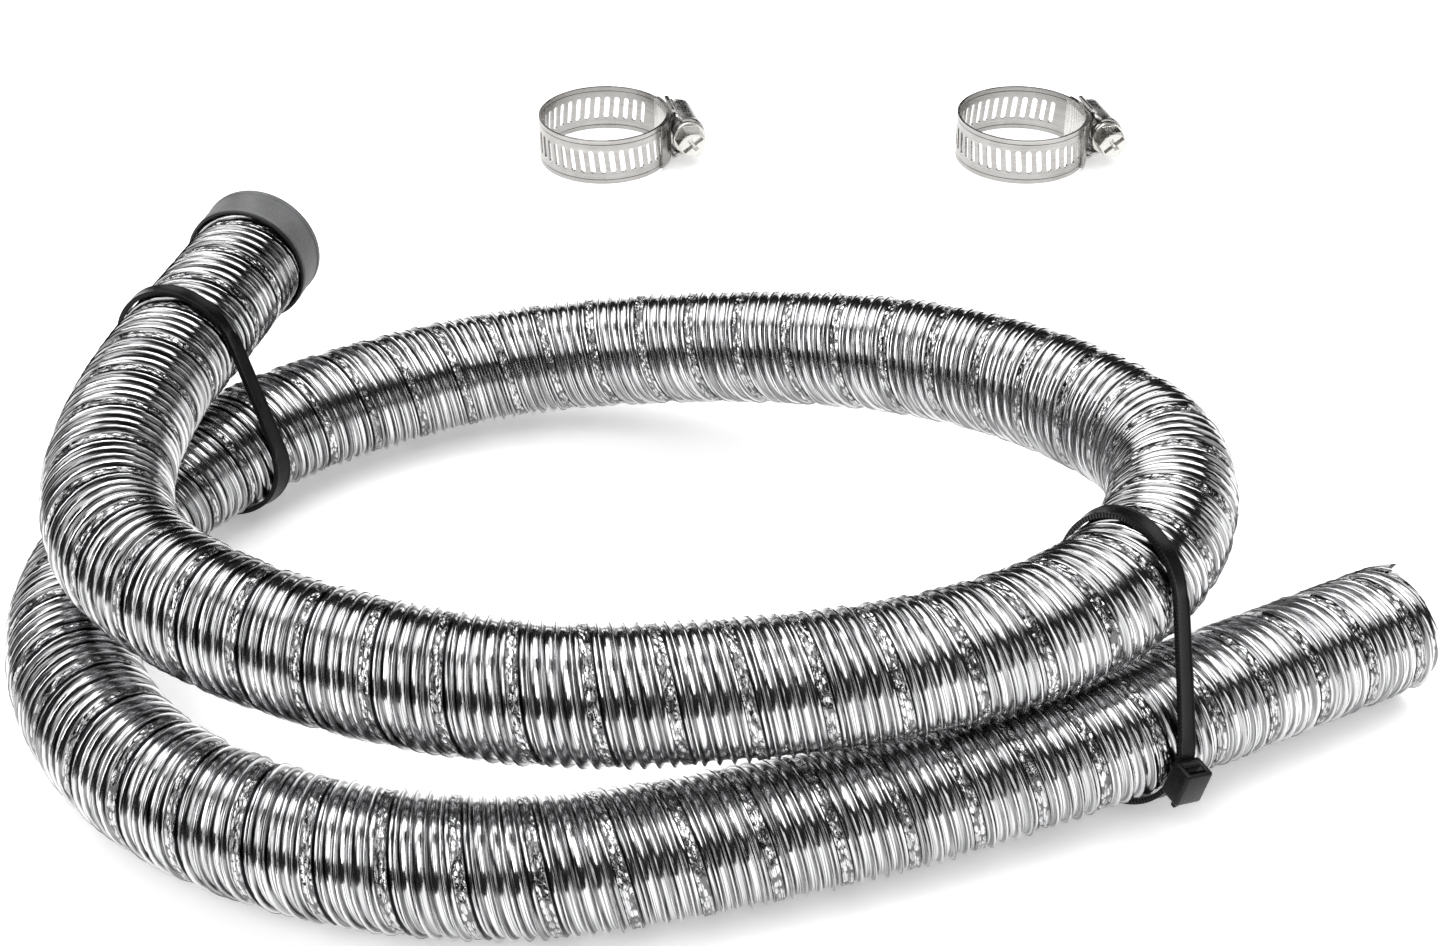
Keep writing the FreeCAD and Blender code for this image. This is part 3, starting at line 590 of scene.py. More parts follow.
def spiral_wall():
    """Foil wall on a grid whose lines follow the spiral: distance = (strips before the line + share of a
    turn) * strip width, so line i at the end of a turn is line i + one strip at its start.

    Places beyond either end are drawn back to the end, which cuts the spiral off. Returns points, faces, UVs
    and the indices of the points along both cuts.
    """
    at, high = strip_profile()
    per_strip = len(at)
    strips = int(math.ceil(LINE.length / STRIP)) + 1
    lines = strips * per_strip
    i = np.arange(lines + 1)[:, None]
    j = np.arange(COLUMNS)[None, :]
    turn = -2 * math.pi * j / COLUMNS
    s = ((i // per_strip) - 1 + at[i % per_strip]) * STRIP + STRIP * j / COLUMNS
    end = free_cut(turn[0])[None, :]
    first = np.maximum((s <= 0).sum(axis=0) - 1, 0)
    last = np.minimum((s <= end).sum(axis=0), lines)

    cut_s = np.clip(s, 0, end)
    turn = np.broadcast_to(turn, s.shape)
    radius = wall_radius(cut_s / STRIP - j / COLUMNS, turn, cut_s, at, high)
    points = LINE.on_tube(cut_s, turn, radius)

    def index(line_no, column):
        wrapped = column == COLUMNS
        line_no = np.where(wrapped, line_no + per_strip, line_no)
        column = np.where(wrapped, 0, column)
        return np.clip(line_no, first[column], last[column]) * COLUMNS + column

    a = np.arange(lines)[:, None] + np.zeros((1, COLUMNS), int)
    b = np.arange(COLUMNS)[None, :] + np.zeros((lines, 1), int)
    corners = [index(a, b), index(a, b + 1), index(a + 1, b + 1), index(a + 1, b)]
    faces = np.stack(corners, axis=-1).reshape(-1, 4)
    low = at[a % per_strip]
    top = np.r_[at, 1.0][a % per_strip + 1]
    go = a // per_strip + b / COLUMNS
    uvs = np.stack([np.stack([go, low], -1), np.stack([go + 1 / COLUMNS, low], -1),
                    np.stack([go + 1 / COLUMNS, top], -1), np.stack([go, top], -1)], axis=-2)
    ends = (first * COLUMNS + np.arange(COLUMNS), last * COLUMNS + np.arange(COLUMNS))
    return points.reshape(-1, 3), faces, uvs.reshape(-1, 4, 2), ends


def tidy_faces(points, faces, uvs):
    """Drops collapsed corners and faces, and the points no face uses."""
    same = [faces[:, k] == faces[:, (k + 1) % 4] for k in range(4)]
    doubles = sum(x.astype(int) for x in same)
    used = np.unique(faces[doubles <= 1])
    remap = np.full(len(points), -1)
    remap[used] = np.arange(len(used))
    whole = doubles == 0
    three = doubles == 1
    drop = np.argmax(np.stack(same, axis=-1)[three], axis=-1)
    order = (drop[:, None] + np.array([1, 2, 3])[None, :]) % 4
    corners = np.take_along_axis(faces[three], order, axis=1)
    corner_uvs = np.take_along_axis(uvs[three], order[..., None], axis=1)
    out_faces = remap[faces[whole]].tolist() + remap[corners].tolist()
    return points[used], out_faces, np.concatenate([uvs[whole].reshape(-1, 2), corner_uvs.reshape(-1, 2)])


def build_foil():
    """The spiral wall outside, a smooth tube inside, and a ring of faces at each end."""
    outer, faces, uvs, ends = spiral_wall()
    rows = 120
    turn = np.broadcast_to(-2 * math.pi * np.arange(COLUMNS)[None, :] / COLUMNS, (rows, COLUMNS))
    s = np.linspace(0, 1, rows)[:, None] * free_cut(turn[:1])
    inner = LINE.on_tube(s, turn, np.full(s.shape, SKIN_R)).reshape(-1, 3)
    base = len(outer)
    inner_faces = quads(rows, COLUMNS, wrap_columns=True)[:, ::-1] + base
    ring = np.arange(COLUMNS)
    near = np.stack([np.roll(ends[0], -1), ends[0], base + ring, base + np.roll(ring, -1)], axis=-1)
    far_ring = base + (rows - 1) * COLUMNS + ring
    far = np.stack([ends[1], np.roll(ends[1], -1), np.roll(far_ring, -1), far_ring], axis=-1)
    all_faces = np.concatenate([faces, inner_faces, near, far])
    extra = np.full((len(all_faces) - len(faces), 4, 2), 0.5)
    points, out_faces, out_uvs = tidy_faces(np.concatenate([outer, inner]), all_faces,
                                            np.concatenate([uvs, extra]))
    return piece("foil_wall", points, out_faces, FOIL, out_uvs)


LINING_BACK = 1.2 * MM                         # the lining's cut lies this far behind the duct's end
LINING_PEEK = 1.9 * MM                         # and comes this much forward on one side


def build_lining():
    """Inner ply: a closed tube of two smooth skins. At the free end it shows a little past the foil on one
    side.

    Its end = length - back + peek * exp(-((cos(turn + 0.55) - 1) / 0.35) squared).
    """
    rows = 260
    turn = np.broadcast_to(2 * math.pi * np.arange(COLUMNS)[None, :] / COLUMNS, (rows, COLUMNS))
    peek = np.exp(-((np.cos(turn[:1] + 0.55) - 1) / 0.35) ** 2)
    end = LINE.length - LINING_BACK + LINING_PEEK * peek
    s = np.linspace(0, 1, rows)[:, None] * end
    outer = beyond_end(s, turn, np.full(s.shape, LINER_OUT))
    inner = beyond_end(s, turn, np.full(s.shape, LINER_IN))
    both = np.concatenate([outer, inner[::-1]])
    faces = quads(2 * rows, COLUMNS, wrap_rows=True, wrap_columns=True)
    strips = np.linspace(0, LINE.length / STRIP, rows)
    u = np.r_[strips, strips[::-1], strips[0]]
    v = np.linspace(0, 1, COLUMNS + 1)
    uvs = grid_uvs(2 * rows, COLUMNS, u, v, wrap_rows=True, wrap_columns=True)
    uvs[..., 0] += uvs[..., 1]
    points = both.reshape(-1, 3)
    turned = outward(points, faces)
    return piece("duct_lining", points, turned, LINING, uvs if turned is faces else uvs[:, ::-1])


CORNER_TURN = math.radians(106)                # where round the tube the lifted corner starts
CORNER_WIDE = math.radians(18)
CORNER_LONG = 3.4 * MM
CORNER_BACK = 2.2 * MM                         # its root lies this far behind the end
CORNER_ROOT_R = 13.25 * MM
CORNER_CURL = 0.9 * MM
FOIL_THICK = 0.09 * MM


def build_foil_corner():
    """A corner of foil lifted off the cut: a patch of the tube that curls outward past the end.

    Distance from the root = length * t * (1 - 0.75 * u), lift = curl * t squared * (1 - 0.6 * u), for t out
    and u round it.
    """
    t, u = np.meshgrid(np.linspace(0, 1, 7), np.linspace(0, 1, 7), indexing="ij")
    turn = CORNER_TURN + CORNER_WIDE * u
    s = LINE.length - CORNER_BACK + CORNER_LONG * t * (1 - 0.75 * u)
    radius = CORNER_ROOT_R + CORNER_CURL * t ** 2 * (1 - 0.6 * u)
    outer = beyond_end(s, turn, radius)
    inner = beyond_end(s, turn, radius - FOIL_THICK)
    return slab("foil_corner", outer, inner, FOIL, sharp=50)


# ------------------------------------------------------------------ end sleeve and seal
RING_COLUMNS = 96
RING_RIPPLE = 0.0012                           # share of the radius by which a ring is out of round


def ring_piece(name, outline, centre, axis, material):
    """Outline of (radius, distance along the axis) points turned about the axis through a centre.

    Radius = outline radius * (1 + ripple * wander(turn)).
    """
    columns = RING_COLUMNS
    outline = np.asarray(outline)
    axis = unit(np.asarray(axis, float))
    side = unit(np.cross(axis, [0.0, 0.0, 1.0]))
    up = np.cross(side, axis)
    turn = 2 * math.pi * np.arange(columns)[None, :] / columns
    radius = outline[:, :1] * (1 + RING_RIPPLE * wander(turn, 21, 4))
    points = (centre + outline[:, 1, None, None] * axis
              + radius[..., None] * (np.cos(turn)[..., None] * side + np.sin(turn)[..., None] * up))
    faces = quads(len(outline), columns, wrap_rows=True, wrap_columns=True)
    uvs = grid_uvs(len(outline), columns, np.linspace(0, 1, len(outline) + 1), np.linspace(0, 1, columns + 1),
                   wrap_rows=True, wrap_columns=True)
    flat = points.reshape(-1, 3)
    return piece(name, flat, outward(flat, faces), material, uvs)


def build_sleeve():
    """Cup with an inward lip, a thicker rim at each end and a shallow groove behind the lip."""
    tip = LINE.place(np.array(0.0))
    axis = -LINE.headings[0]
    corners = [(14.22, -9.1), (14.95, -9.1), (15.05, -8.2), (14.92, -7.9), (14.92, -0.6), (14.80, -0.35),
               (15.05, -0.1), (15.05, 1.4), (13.0, 1.4), (13.0, 0.2), (14.22, 0.2)]
    radii = [0.12, 0.25, 0.2, 0.2, 0.1, 0.1, 0.15, 0.45, 0.35, 0.1, 0.1]
    outline = rounded(np.array(corners) * MM, np.array(radii) * MM, 5)
    sleeve = ring_piece("end_sleeve_moulding", outline, tip, axis, SLEEVE)
    ring_corners = [(14.24, -9.98), (14.9, -9.98), (15.02, -9.55), (14.9, -9.12), (14.24, -9.12)]
    ring = rounded(np.array(ring_corners) * MM, 0.25 * MM, 4)
    seal = ring_piece("seal_ring_moulding", ring, tip, axis, SEAL)
    return sleeve, seal


# ------------------------------------------------------------------ cable ties
# Each loop lies in a plane that cuts both layers of the coil: a point of it, the heading and the lean in
# degrees of the way it faces, and where round the loop its head sits, in degrees up from level. Millimetres.
TIES = {
    "cable_tie_left": dict(plan=(-121.0, -29.5), heading=252.0, lean=2.0, head=-8.0),
    "cable_tie_right": dict(plan=(80.9, -125.6), heading=40.0, lean=-10.5, head=-27.0),
}
STRAP_THICK = 1.2
STRAP_HALF = 1.8
STRAP_GAP = 0.10                               # between the strap and the crests of the ridges
TIE_REACH = 52.0                               # takes in both layers, and no more of the coil
HEAD_OFF = 0.4                                 # from the strap's line to the head's inner face
HEAD_DEPTH = 5.2
SLOT = (2.35, 4.05)                            # the slot's two sides, from the head's inner face
TAIL_OFF = 3.2                                 # the strap's end in the slot, from the head's inner face


class Loop:
    """The tightest loop round the two passes of duct that cross a tie's plane.

    The duct is taken as a row of balls. A plane cuts each ball in a disc of radius sqrt(R^2 - distance^2),
    and the loop's reach in a direction is the furthest that any disc goes that way.
    """

    def __init__(self, tie):
        heading, lean = math.radians(tie["heading"]), math.radians(tie["lean"])
        level = math.cos(lean)
        facing = np.array([math.cos(heading) * level, math.sin(heading) * level, math.sin(lean)])
        plan = np.array([*tie["plan"], 2 * DUCT_R / MM]) + CENTRE / MM
        balls = LINE.place(np.linspace(0, LINE.length, 3000)) / MM
        ahead = (balls - plan) @ facing
        cut = np.flatnonzero(ahead[:-1] * ahead[1:] <= 0)
        share = (ahead[cut] / (ahead[cut] - ahead[cut + 1]))[:, None]
        spots = balls[cut] * (1 - share) + balls[cut + 1] * share
        nearest = spots[np.argsort(np.linalg.norm((spots - plan)[:, :2], axis=1))[:2]]
        self.centre, upper = nearest[np.argsort(nearest[:, 2])]
        self.up = unit(upper - self.centre)
        self.sideways = unit(np.cross(facing, self.up))
        self.across = np.cross(self.sideways, self.up)
        balls = balls - self.centre
        balls = balls[np.linalg.norm(balls, axis=1) < TIE_REACH]
        self.flat = np.stack([balls @ self.sideways, balls @ self.up], -1)
        self.off = balls @ self.across

    def reach(self, turn, width):
        """Furthest distance from the centre in a turn's direction, in the plane that lies at a width."""
        turn, width = np.broadcast_arrays(turn, width)
        radius = DUCT_R / MM + STRAP_GAP
        room = radius ** 2 - (self.off - width[..., None]) ** 2
        disc = np.where(room > 0, np.sqrt(np.maximum(room, 0)), -1e3)
        flat = np.cos(turn)[..., None] * self.flat[:, 0] + np.sin(turn)[..., None] * self.flat[:, 1]
        return (flat + disc).max(axis=-1)

    def touch(self, turn):
        """Where the loop touches in a direction: reach * outward + slope of the reach * forward."""
        small = 0.004
        slope = (self.reach(turn + small, 0.0) - self.reach(turn - small, 0.0)) / (2 * small)
        out = np.stack([np.cos(turn), np.sin(turn)], -1)
        forward = np.stack([-np.sin(turn), np.cos(turn)], -1)
        return self.reach(turn, 0.0)[..., None] * out + slope[..., None] * forward

    def path(self, step=1.1):
        """Evenly spaced points of the loop and their turns."""
        turn = np.linspace(0, 2 * math.pi, 721)
        points = self.touch(turn)
        far = np.r_[0, np.cumsum(np.linalg.norm(np.diff(points, axis=0), axis=1))]
        even = np.linspace(0, far[-1], int(far[-1] / step) + 1)[:-1]
        made = np.stack([np.interp(even, far, points[:, k]) for k in range(2)], -1)
        return made, np.interp(even, far, turn)

    def world(self, flat, width):
        """Places in metres for places in the loop's plane and distances across the strap."""
        return (self.centre + flat[..., :1] * self.sideways + flat[..., 1:] * self.up
                + np.asarray(width)[..., None] * self.across) * MM


def build_strap(name, loop):
    """The strap's section swept round its loop: a flat band whose two rims stand up on the outer face.

    Place = loop's path + outward * (height in the section + reach at its distance across - reach in the
    middle), so each line along the strap lies on the duct at its own distance across the strap.
    """
    path, turn = loop.path()
    t, w = STRAP_THICK, STRAP_HALF
    corners = [(0.08, -w), (t, -w), (t, -w + 0.4), (t - 0.1, -w + 0.55), (t - 0.1, w - 0.55), (t, w - 0.4),
               (t, w), (0.08, w), (0.0, w - 0.5), (0.0, -w + 0.5)]
    section = rounded(corners, 0.16, 3)
    shift = loop.reach(turn[:, None], section[None, :, 1]) - loop.reach(turn, 0.0)[:, None]
    out = np.stack([np.cos(turn), np.sin(turn)], -1)[:, None, :]
    flat = path[:, None, :] + out * (section[None, :, 0] + shift)[..., None]
    points = loop.world(flat, np.broadcast_to(section[:, 1], flat.shape[:2]))
    rows, columns = points.shape[:2]
    steps = np.linalg.norm(np.diff(np.r_[path, path[:1]], axis=0), axis=1)
    u = np.r_[0, np.cumsum(steps)]
    uvs = grid_uvs(rows, columns, u, np.linspace(0, 1, columns + 1), wrap_rows=True, wrap_columns=True)
    faces = quads(rows, columns, wrap_rows=True, wrap_columns=True)
    flat_points = points.reshape(-1, 3)
    turned = outward(flat_points, faces)
    return piece(name, flat_points, turned, STRAP, uvs if turned is faces else uvs[:, ::-1])


def loft(name, rings, to_world, material, sharp):
    """Closed rings of points, each joined to the next and the last to the first."""
    rings = to_world(np.asarray(rings))
    rows, columns = rings.shape[:2]
    faces = quads(rows, columns, wrap_rows=True, wrap_columns=True)
    uvs = grid_uvs(rows, columns, np.linspace(0, 1, rows + 1), np.linspace(0, 1, columns + 1),
                   wrap_rows=True, wrap_columns=True)
    points = rings.reshape(-1, 3)
    return piece(name, points, outward(points, faces), material, uvs, sharp)


def build_tie_head(name, loop, degrees):
    """Block with a slot through it along the strap: outer skin, rounded end faces and the slot's skin.

    It sits on the strap and leans across it as the strap does.
    """
    turn = math.radians(degrees)
    base = loop.world(loop.touch(np.array(turn)), 0.0) / MM
    lean = (loop.reach(turn, STRAP_HALF) - loop.reach(turn, -STRAP_HALF)) / (2 * STRAP_HALF)
    straight = math.cos(turn) * loop.sideways + math.sin(turn) * loop.up
    along = math.cos(turn) * loop.up - math.sin(turn) * loop.sideways
    out = unit(straight - lean * loop.across)
    across = np.cross(out, along)

    def to_world(local):
        return (base + local[..., :1] * out + local[..., 1:2] * along + local[..., 2:] * across) * MM

    def box_ring(x0, x1, half, corner_radius, y):
        corners = [(x0, -half), (x1, -half), (x1, half), (x0, half)]
        ring = rounded(corners, corner_radius, 7)
        return np.stack([ring[:, 0], np.full(len(ring), y), ring[:, 1]], axis=-1)

    x0, x1 = HEAD_OFF, HEAD_OFF + HEAD_DEPTH
    s0, s1 = HEAD_OFF + SLOT[0], HEAD_OFF + SLOT[1]
    rings = [box_ring(x0 + 0.45, x1 - 0.45, 2.85, 0.5, -3.8),
             box_ring(x0 + 0.12, x1 - 0.12, 3.18, 0.7, -3.66),
             box_ring(x0, x1, 3.3, 0.8, -3.3), box_ring(x0, x1, 3.3, 0.8, 0.0),
             box_ring(x0, x1, 3.3, 0.8, 3.3), box_ring(x0 + 0.12, x1 - 0.12, 3.18, 0.7, 3.66),
             box_ring(x0 + 0.45, x1 - 0.45, 2.85, 0.5, 3.8),
             box_ring(s0 - 0.25, s1 + 0.25, 2.25, 0.3, 3.8), box_ring(s0, s1, 2.0, 0.2, 3.5),
             box_ring(s0, s1, 2.0, 0.2, 0.0), box_ring(s0, s1, 2.0, 0.2, -3.5),
             box_ring(s0 - 0.25, s1 + 0.25, 2.25, 0.3, -3.8)]
    head = loft(name + "_head", rings, to_world, NYLON, 60)

    def tail_ring(y, half, thick, skew):
        corners = [(-thick / 2, -half), (thick / 2, -half), (thick / 2, half), (-thick / 2, half)]
        ring = rounded(corners, 0.12, 3)
        slope = skew * (ring[:, 1] / STRAP_HALF + 0.5 * np.sin(ring[:, 1] * 5))
        return np.stack([ring[:, 0] + HEAD_OFF + TAIL_OFF, y - slope, ring[:, 1]], axis=-1)

    tail = [tail_ring(3.4, 1.0, 0.5, 0.0), tail_ring(3.7, STRAP_HALF, STRAP_THICK, 0.0),
            tail_ring(-3.4, STRAP_HALF, STRAP_THICK, 0.0), tail_ring(-4.6, STRAP_HALF, STRAP_THICK, 0.15),
            tail_ring(-5.1, STRAP_HALF - 0.05, STRAP_THICK * 0.9, 0.5), tail_ring(-5.45, 1.0, 0.45, 0.9),
            tail_ring(-5.0, 0.5, 0.12, 0.6), tail_ring(3.2, 0.5, 0.12, 0.0)]
    return head, loft(name + "_cut_tail", tail, to_world, STRAP, 40)


# ------------------------------------------------------------------ worm-drive clamps
# Ring centres in the set's frame and the heading of the screw housing in degrees. Clamp sizes in millimetres.
CLAMPS = {"clamp_1": (-35.28, 161.47, 14.0), "clamp_2": (94.02, 161.47, 14.0)}
BAND_LOW = 1.25
BAND_HIGH = 15.45
MID_Z = (BAND_LOW + BAND_HIGH) / 2
BAND_HALF = (BAND_HIGH - BAND_LOW) / 2
GRIP_R = 19.35                                 # inner radius of the ring
BAND_R = 20.0                                  # outer radius of the ring
SADDLE_HALF = 24                               # of the saddle's arc, in degrees
GROOVE_STEP = 3.6                              # between two grooves of the saddle, in degrees
GROOVE_DEPTH = 0.26
HOUSING_HALF = 8.0                             # half the housing's length over its arch
SHOULDER_SHORT = 2.6                           # how much shorter each shoulder is at each end
SHEET_HALF = 0.42                              # half the housing's sheet
ARCH_R = 4.9
AXIS_X = 25.0                                  # screw's axis from the ring's
PITCH = 3.1
WORM_ROOT = 3.2
WORM_DEPTH = 0.9
WORM_ENDS = (-8.4, 9.5)
COLLAR_BACK = 8.42                             # back of the screw head's collar
CROWN_R = 3.86
HEX_TURN = 35.0                                # of the recess's long arm up from level, in degrees
HEX_HALF = 4.0                                 # from the screw's axis to a flat


def clamp_place(centre):
    """Maps a clamp's own millimetres, X out through the housing and Z up, to metres in the set's frame."""
    x, y, heading = centre
    cosine, sine = math.cos(math.radians(heading)), math.sin(math.radians(heading))

    def to_world(local):
        px = x + local[..., 0] * cosine - local[..., 1] * sine
        py = y + local[..., 0] * sine + local[..., 1] * cosine
        return np.stack([px, py, local[..., 2]], axis=-1) * MM

    return to_world


def add_bevel(obj, width):
    bevel = obj.modifiers.new("edges", "BEVEL")
    bevel.width = width
    bevel.segments = 2
    bevel.limit_method = "ANGLE"
    bevel.angle_limit = math.radians(45)
    return obj


def build_saddle(name, to_world):
    """Plate that closes the ring under the housing, with curved grooves pressed into its inner face.

    Inner radius = grip radius + depth * groove, where grooves repeat across the plate along bowed lines.
    """
    turn, high = np.meshgrid(np.radians(np.linspace(-SADDLE_HALF, SADDLE_HALF, 73)),
                             np.linspace(BAND_LOW, BAND_HIGH, 41), indexing="ij")
    middle = (high - MID_Z) / BAND_HALF
    bowed = np.degrees(turn) - 3.5 * middle ** 2
    groove = 0.5 - 0.5 * np.cos(2 * math.pi * bowed / GROOVE_STEP)
    depth = GROOVE_DEPTH * smooth_step(-np.abs(middle), -0.72, -0.55) * smooth_step(-np.abs(bowed), -20, -17)

    def skin(radius):
        return to_world(np.stack([radius * np.cos(turn), radius * np.sin(turn), high], axis=-1))

    outer, inner = skin(np.full(turn.shape, BAND_R)), skin(GRIP_R + depth * groove)
    return slab(name + "_ribbed_saddle", outer, inner, PRESSED, sharp=50)


def housing_section():
    """Centre line of the housing's sheet, half of it: side, shoulder with a bead, then the arch.

    Returns places as (out from the ring's axis, across the band) and the directions off the sheet.
    """
    side = np.stack([np.linspace(20.4, 21.0, 3), np.full(3, 7.85)], -1)
    corner = np.linspace(0, math.pi / 2, 6)[1:]
    turned = np.stack([21.0 + 0.55 * np.sin(corner), 7.3 + 0.55 * np.cos(corner)], -1)
    flat = np.stack([np.full(3, 21.55), np.linspace(6.9, 5.9, 3)], -1)
    rise = np.linspace(0, 1, 6)[1:, None]
    bead = np.array([[21.55, 5.9]]) * (1 - rise) + np.array([[23.3, 4.9]]) * rise
    bead[:, 0] += 0.45 * np.sin(rise[:, 0] * math.pi)
    arch = np.linspace(0, math.pi / 2, 15)[1:]
    top = np.stack([AXIS_X + ARCH_R * np.sin(arch), ARCH_R * np.cos(arch)], -1)
    lift = np.array([[24.4, 4.98]])
    half = np.concatenate([side, turned, flat, bead, lift, top])
    whole = np.concatenate([half, half[-2::-1] * [1, -1]])
    heading = unit(np.gradient(whole, axis=0))
    return whole, np.stack([heading[:, 1], -heading[:, 0]], -1) * -1


def build_housing(name, to_world):
    """The sheet's section carried along the screw.

    Half length = full half - short * smooth step of the distance across, so the arch runs full length and the
    shoulders stop short. The shoulders' ends flare, and the arch has a rolled crown near its back end.
    """
    line, off = housing_section()
    across = np.abs(line[:, 1])
    t = np.linspace(-1, 1, 25)
    reach = HOUSING_HALF - SHOULDER_SHORT * smooth_step(across, 4.6, 7.0)
    along = t[:, None] * reach[None, :]
    shoulder = smooth_step(across, 3.0, 6.0) ** 2 * smooth_step(-across, -7.8, -7.2)
    flare = 0.45 * np.maximum(np.abs(t) - 0.82, 0)[:, None] / 0.18 * shoulder[None, :]
    crown = 0.30 * np.exp(-((t[:, None] * HOUSING_HALF + 6.6) / 0.55) ** 2) * (across[None, :] < 4.95)

    def skin(offset):
        away = (flare + crown + offset)[..., None]
        flat = line[None] + off[None] * away
        return to_world(np.stack([flat[..., 0], along, flat[..., 1] + MID_Z], axis=-1))

    housing = slab(name + "_worm_housing", skin(SHEET_HALF), skin(-SHEET_HALF), PRESSED, sharp=50)
    return add_bevel(housing, 0.16 * MM)


def cross_outline():
    """Angles and radii of the recess: the further of two crossed slots along each direction."""
    long_half, short_half, half_wide = 3.5, 2.3, 0.6
    quarter = []
    ends = [(long_half, 0.0), (long_half, half_wide), (half_wide, half_wide), (half_wide, short_half),
            (0.0, short_half)]
    for (x0, y0), (x1, y1) in zip(ends[:-1], ends[1:]):
        for t in np.linspace(0, 1, 5)[:-1]:
            quarter.append((x0 + (x1 - x0) * t, y0 + (y1 - y0) * t))
    quarter = np.array(quarter)
    first = np.degrees(np.arctan2(quarter[:, 1], quarter[:, 0]))
    hexagon = (np.arange(-1, 7) * 60 - HEX_TURN) % 360
    angles = np.concatenate([first, 180 - first, 180 + first, 360 - first, hexagon]) % 360
    angles = np.radians(np.unique(np.round(angles, 4)))
    cosine, sine = np.abs(np.cos(angles)) + 1e-9, np.abs(np.sin(angles)) + 1e-9
    long_slot = np.minimum(long_half / cosine, half_wide / sine)
    short_slot = np.minimum(half_wide / cosine, short_half / sine)
    return angles, np.maximum(long_slot, short_slot)


def build_screw_head(name, to_world):
    """Hexagon with a cone-cut crown, a slightly domed face and a cross recess, on a thin round collar.

    Each ring of the surface is a radius for every direction: collar, hexagon, crown, recess edge and floor.
    """
    angles, recess = cross_outline()
    sector = (angles + math.radians(HEX_TURN)) % (math.pi / 3) - math.pi / 6
    hexagon = HEX_HALF / np.cos(sector)

    def ring(radius, back):
        radius = np.broadcast_to(radius, angles.shape)
        back = np.broadcast_to(back, angles.shape)
        turned = angles + math.radians(HEX_TURN)
        return np.stack([AXIS_X + radius * np.cos(turned), -back, MID_Z + radius * np.sin(turned)], axis=-1)

    cone = (hexagon - CROWN_R) * 0.55
    rings = [ring(3.0, COLLAR_BACK), ring(5.05, COLLAR_BACK), ring(5.2, 8.56), ring(5.2, 9.2), ring(5.0, 9.4),
             ring(hexagon + 0.12, 9.44), ring(hexagon, 9.6), ring(hexagon, 14.32 - cone),
             ring(np.minimum(hexagon, CROWN_R + 0.02) * 0.99, 14.36),
             ring(np.maximum(recess + 0.08, 3.4), 14.42), ring(recess + 0.07, 14.46), ring(recess, 14.36),
             ring(recess * 0.96, 13.3), ring(0.3, 13.0)]
    floor = ring(0.0, 12.98)[:1]
    back_centre = ring(0.0, COLLAR_BACK)[:1]
    grid = np.array(rings)
    rows, columns = grid.shape[:2]
    points = to_world(np.concatenate([grid.reshape(-1, 3), floor, back_centre]))
    count = rows * columns
    faces = facing_out(points, to_world(np.array([[AXIS_X, -12.0, MID_Z]])),
                       quads(rows, columns, wrap_columns=True), end_fans(rows, columns, count + 1, count))
    return piece(name + "_hex_head", points, faces, SCREW, None, 28)


def build_worm(name, to_world):
    """Threaded shank: radius = root + depth * thread(place along / pitch + turn), a rounded trapezium wave.

    The thread fades in over its first half turn and out over its last.
    """
    columns = 40
    along = np.linspace(*WORM_ENDS, 118)
    turn = 2 * math.pi * np.arange(columns)[None, :] / columns
    phase = (along[:, None] / PITCH + turn / (2 * math.pi)) % 1.0
    crest = smooth_step(-np.abs(phase - 0.5), -0.36, -0.14)
    fade = smooth_step(along, -7.6, -6.6) * smooth_step(-along, -9.2, -8.4)
    radius = WORM_ROOT + WORM_DEPTH * crest * fade[:, None]
    radius = radius * np.where(along > 9.2, 0.93, 1.0)[:, None]
    grid = np.stack([AXIS_X + radius * np.cos(turn), np.broadcast_to(along[:, None], radius.shape),
                     MID_Z + radius * np.sin(turn)], axis=-1)
    ends = np.array([[AXIS_X, end, MID_Z] for end in WORM_ENDS])
    points = to_world(np.concatenate([grid.reshape(-1, 3), ends]))
    rows = len(along)
    count = rows * columns
    faces = facing_out(points, points[-1], quads(rows, columns, wrap_columns=True),
                       end_fans(rows, columns, count, count + 1))
    return piece(name + "_worm", points, faces, SCREW, None, 40)


# ------------------------------------------------------------------ building the set
def stand_in(obj, body, slot, *nodes):
    """Puts a piece on its body in place of CAD nodes, which it hides. The slot argument is not used."""
    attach(obj, body)
    if nodes:
        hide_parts(*nodes)
    return obj


def build_duct():
    foil = stand_in(build_foil(), "duct", "foil", "duct_wall_sleeved_end", "duct_wall_upper_left",
                    "duct_wall_upper_front", "duct_wall_right_and_back", "duct_wall_lower_left",
                    "duct_wall_lower_front", "duct_wall_free_end")
    lining = stand_in(build_lining(), "duct", "liner", "duct_liner_sleeved_end", "duct_liner_coil",
                      "duct_liner_free_end")
    corner = stand_in(build_foil_corner(), "duct", "foil")
    path = LINE.place(np.linspace(0, LINE.length, 220))


def build_fittings():
    sleeve, seal = build_sleeve()
    stand_in(sleeve, "sleeve", "sleeve", "end_sleeve")
    stand_in(seal, "sleeve", "seal", "sleeve_seal_ring")
    for name, tie in TIES.items():
        loop = Loop(tie)
        stand_in(build_strap(name + "_strap", loop), "duct", "nylon", name)
        head, tail = build_tie_head(name, loop, tie["head"])
        stand_in(head, "duct", "nylon")
        stand_in(tail, "duct", "nylon")


def build_clamps():
    for name, centre in CLAMPS.items():
        to_world = clamp_place(centre)
        stand_in(build_saddle(name, to_world), "duct", "stainless", name + "_saddle")
        stand_in(build_housing(name, to_world), "duct", "stainless", name + "_housing")
        stand_in(build_screw_head(name, to_world), name + "_screw", "zinc_steel", name + "_screw")
        stand_in(build_worm(name, to_world), name + "_screw", "zinc_steel")
        for part in ("_band", "_band_tail"):
            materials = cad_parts[name + part].data.materials
            materials.clear()
            materials.append(BAND)


build_duct()
build_fittings()
build_clamps()


